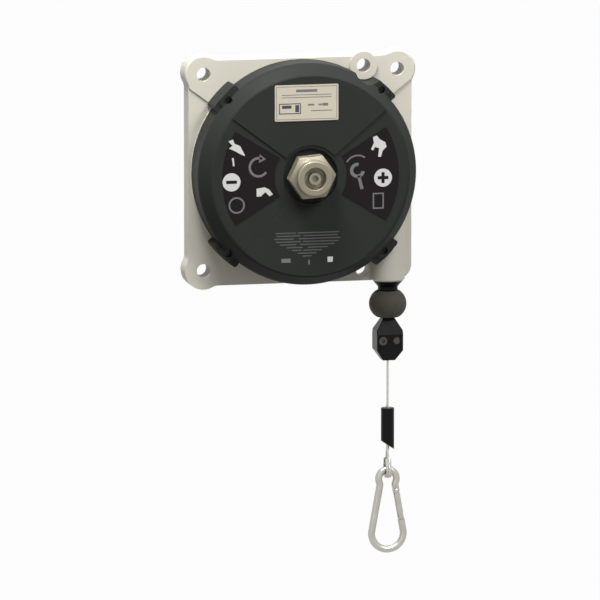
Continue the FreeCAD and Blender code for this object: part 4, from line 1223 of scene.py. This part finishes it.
@dataclass
class Labels:
    """Two black labels beside the nut, which say which way to turn it.

    Outlines are points (x, z) in millimetres. Handle and arm are bars, weights a ring and a frame, and
    turns and jaw arcs, with the numbers of the Stencil's method.

    Attributes:
        minus_at: Middle of the minus sign.
        plus_at: Middle of the plus sign.
        sign_radius: Radius of the signs.
        bar: Length and width of a sign's bar.
        light_tool: Outline of the light tool.
        light_handle: Its handle.
        light_hand: Outline of the hand beside it.
        light_turn: Line of the turning arrow.
        arrow_head: Outline of its head.
        light_weight: The round weight.
        heavy_tool: Outline of the heavy tool.
        spanner_jaw: Jaw of the spanner.
        spanner_arm: Its arm.
        spanner_turn: Line of the way that it turns.
        heavy_weight: The square weight.
    """

    minus_at: Spot = (-63.6, -2.8)
    plus_at: Spot = (58.2, -3.1)
    sign_radius: float = 7.2
    bar: Spot = (8.6, 2.6)
    light_tool: tuple[Spot, ...] = (
        (-66.2, 29.6), (-62.4, 31.0), (-61.2, 27.6), (-56.6, 25.6), (-52.6, 17.6),
        (-55.4, 18.6), (-60.6, 21.6), (-65.6, 24.0), (-62.8, 26.0),
    )
    light_handle: Mark = (-62.2, 13.1, 1.3, 6.4, 8.0)
    light_hand: tuple[Spot, ...] = (
        (-43.6, -8.6), (-40.4, -8.2), (-37.0, -7.6), (-33.4, -9.4), (-30.4, -13.4),
        (-33.2, -14.8), (-36.6, -11.4), (-38.2, -13.0), (-40.0, -14.8), (-43.4, -14.8),
    )
    light_turn: Mark = (-41.8, 8.4, 7.2, 1.9, 65.0, 325.0)
    arrow_head: tuple[Spot, ...] = ((-41.0, 18.6), (-36.0, 14.6), (-41.6, 11.8))
    light_weight: Mark = (-59.5, -21.2, 5.9, 1.3)
    heavy_tool: tuple[Spot, ...] = (
        (50.0, 29.4), (53.2, 30.4), (55.6, 27.4), (60.0, 25.0), (61.0, 21.4),
        (58.0, 18.6), (56.4, 13.4), (54.2, 13.6), (55.0, 20.4), (51.8, 21.4),
        (50.2, 18.8), (48.4, 19.6), (50.8, 24.6),
    )
    spanner_jaw: Mark = (37.6, 3.4, 4.7, 2.6, 80.0, 350.0)
    spanner_arm: Mark = (39.9, -6.2, 2.6, 11.0, 14.0)
    spanner_turn: Mark = (37.8, 5.0, 10.2, 1.2, 55.0, 150.0)
    heavy_weight: Mark = (54.4, -21.3, 8.9, 12.7, 1.1)

    def build(self) -> None:
        """Dresses the labels and prints their marks."""
        dress_nodes("label_plus", "label_minus")
        self._minus()
        self._plus()

    def _minus(self) -> None:
        """Marks for less pull: a minus sign, a light tool, a turning arrow and a weight."""
        white = Stencil().disc(*self.minus_at, self.sign_radius).bar(*self.minus_at, *self.bar)
        white.outline(self.light_tool).bar(*self.light_handle).outline(self.light_hand)
        print_piece(white, "minus_marks", "label_minus", WHITE_INK)
        grey = Stencil().arc(*self.light_turn).outline(self.arrow_head).ring(*self.light_weight)
        print_piece(grey, "minus_arrows", "label_minus", GREY_INK)

    def _plus(self) -> None:
        """Marks for more pull: a plus sign, a heavy tool, a spanner and a weight."""
        x, z = self.plus_at
        a, b = (side / 2 for side in self.bar)
        cross = [(-a, -b), (-b, -b), (-b, -a), (b, -a), (b, -b), (a, -b),
                 (a, b), (b, b), (b, a), (-b, a), (-b, b), (-a, b)]
        white = Stencil().disc(x, z, self.sign_radius)
        white.outline([(x + across, z + up) for across, up in cross]).outline(self.heavy_tool)
        print_piece(white, "plus_marks", "label_plus", WHITE_INK)
        grey = Stencil().arc(*self.spanner_jaw).bar(*self.spanner_arm)
        grey.frame(*self.heavy_weight).arc(*self.spanner_turn)
        print_piece(grey, "plus_arrows", "label_plus", GREY_INK)


@dataclass
class TensionNut:
    """The bronze-coloured nut that sets the spring's pull.

    Attributes:
        edges: Rounding of its edges.
    """

    edges: SoftEdges = SoftEdges(0.0005)

    def build(self) -> None:
        """Makes the nut and dresses its screw."""
        nut = self.edges.copy_of("adjusting_nut", "tension_nut")
        add_piece(nut, Body.TENSION_ADJUSTER, BRONZE)
        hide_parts("adjusting_nut")
        dress_nodes("nut_screw")


@dataclass
class RopeOutlet:
    """The bush under the boss and the rubber buffer below it.

    Attributes:
        edges: Rounding of the bush.
    """

    edges: SoftEdges = SoftEdges(0.0006)

    def build(self) -> None:
        """Makes the bush and dresses the buffer."""
        bush = self.edges.copy_of("outlet_bush", "rope_outlet")
        add_piece(bush, Body.HOUSING, BLACK_PLASTIC)
        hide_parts("outlet_bush")
        dress_nodes("buffer_ball")


class StopClamp:
    """The two-part clamp that stops the rope at the housing."""

    def build(self) -> None:
        """Dresses both halves and their screws."""
        dress_nodes("stop_clamp_front", "stop_clamp_rear", finish=GLOSS_PLASTIC)
        # The screws and nuts take the lighter steel, whose colour paints in their highlight.
        dress_nodes("clamp_screws", "clamp_nuts", finish=LIT_CLAMP_STEEL)


class SnapHook:
    """The pear-shaped snap hook with its gate."""

    def build(self) -> None:
        """Dresses the hook, its gate, pin and spring."""
        dress_nodes("snap_hook", "gate", "gate_pin", "gate_spring")


@dataclass
class Works:
    """Drum, spring, shaft and ratchet inside the housing.

    Attributes:
        nodes: The frame nodes that it dresses.
    """

    nodes: tuple[str, ...] = (
        "rear_shaft_bush", "thrust_washer", "front_shaft_bush", "leaf_pawl", "pawl_screws",
        "cable_drum", "spring_cover", "spring_cover_screws", "drum_bush_rear", "drum_bush_front",
        "rope_winding", "rope_anchor", "power_spring", "tension_shaft", "ratchet_wheel",
        "shaft_circlip",
    )

    def build(self) -> None:
        """Dresses the inner parts."""
        dress_nodes(*self.nodes)


def main() -> None:
    """Builds the studio and every sub-assembly in order."""
    logging.basicConfig(level=logging.INFO, format="%(message)s")
    Studio().build()
    LoadRope().build()
    RopeEnd().build()
    Housing().build()
    Cover().build()
    NamePlate().build()
    Labels().build()
    TensionNut().build()
    RopeOutlet().build()
    StopClamp().build()
    SnapHook().build()
    Works().build()


if __name__ == "__main__":
    main()
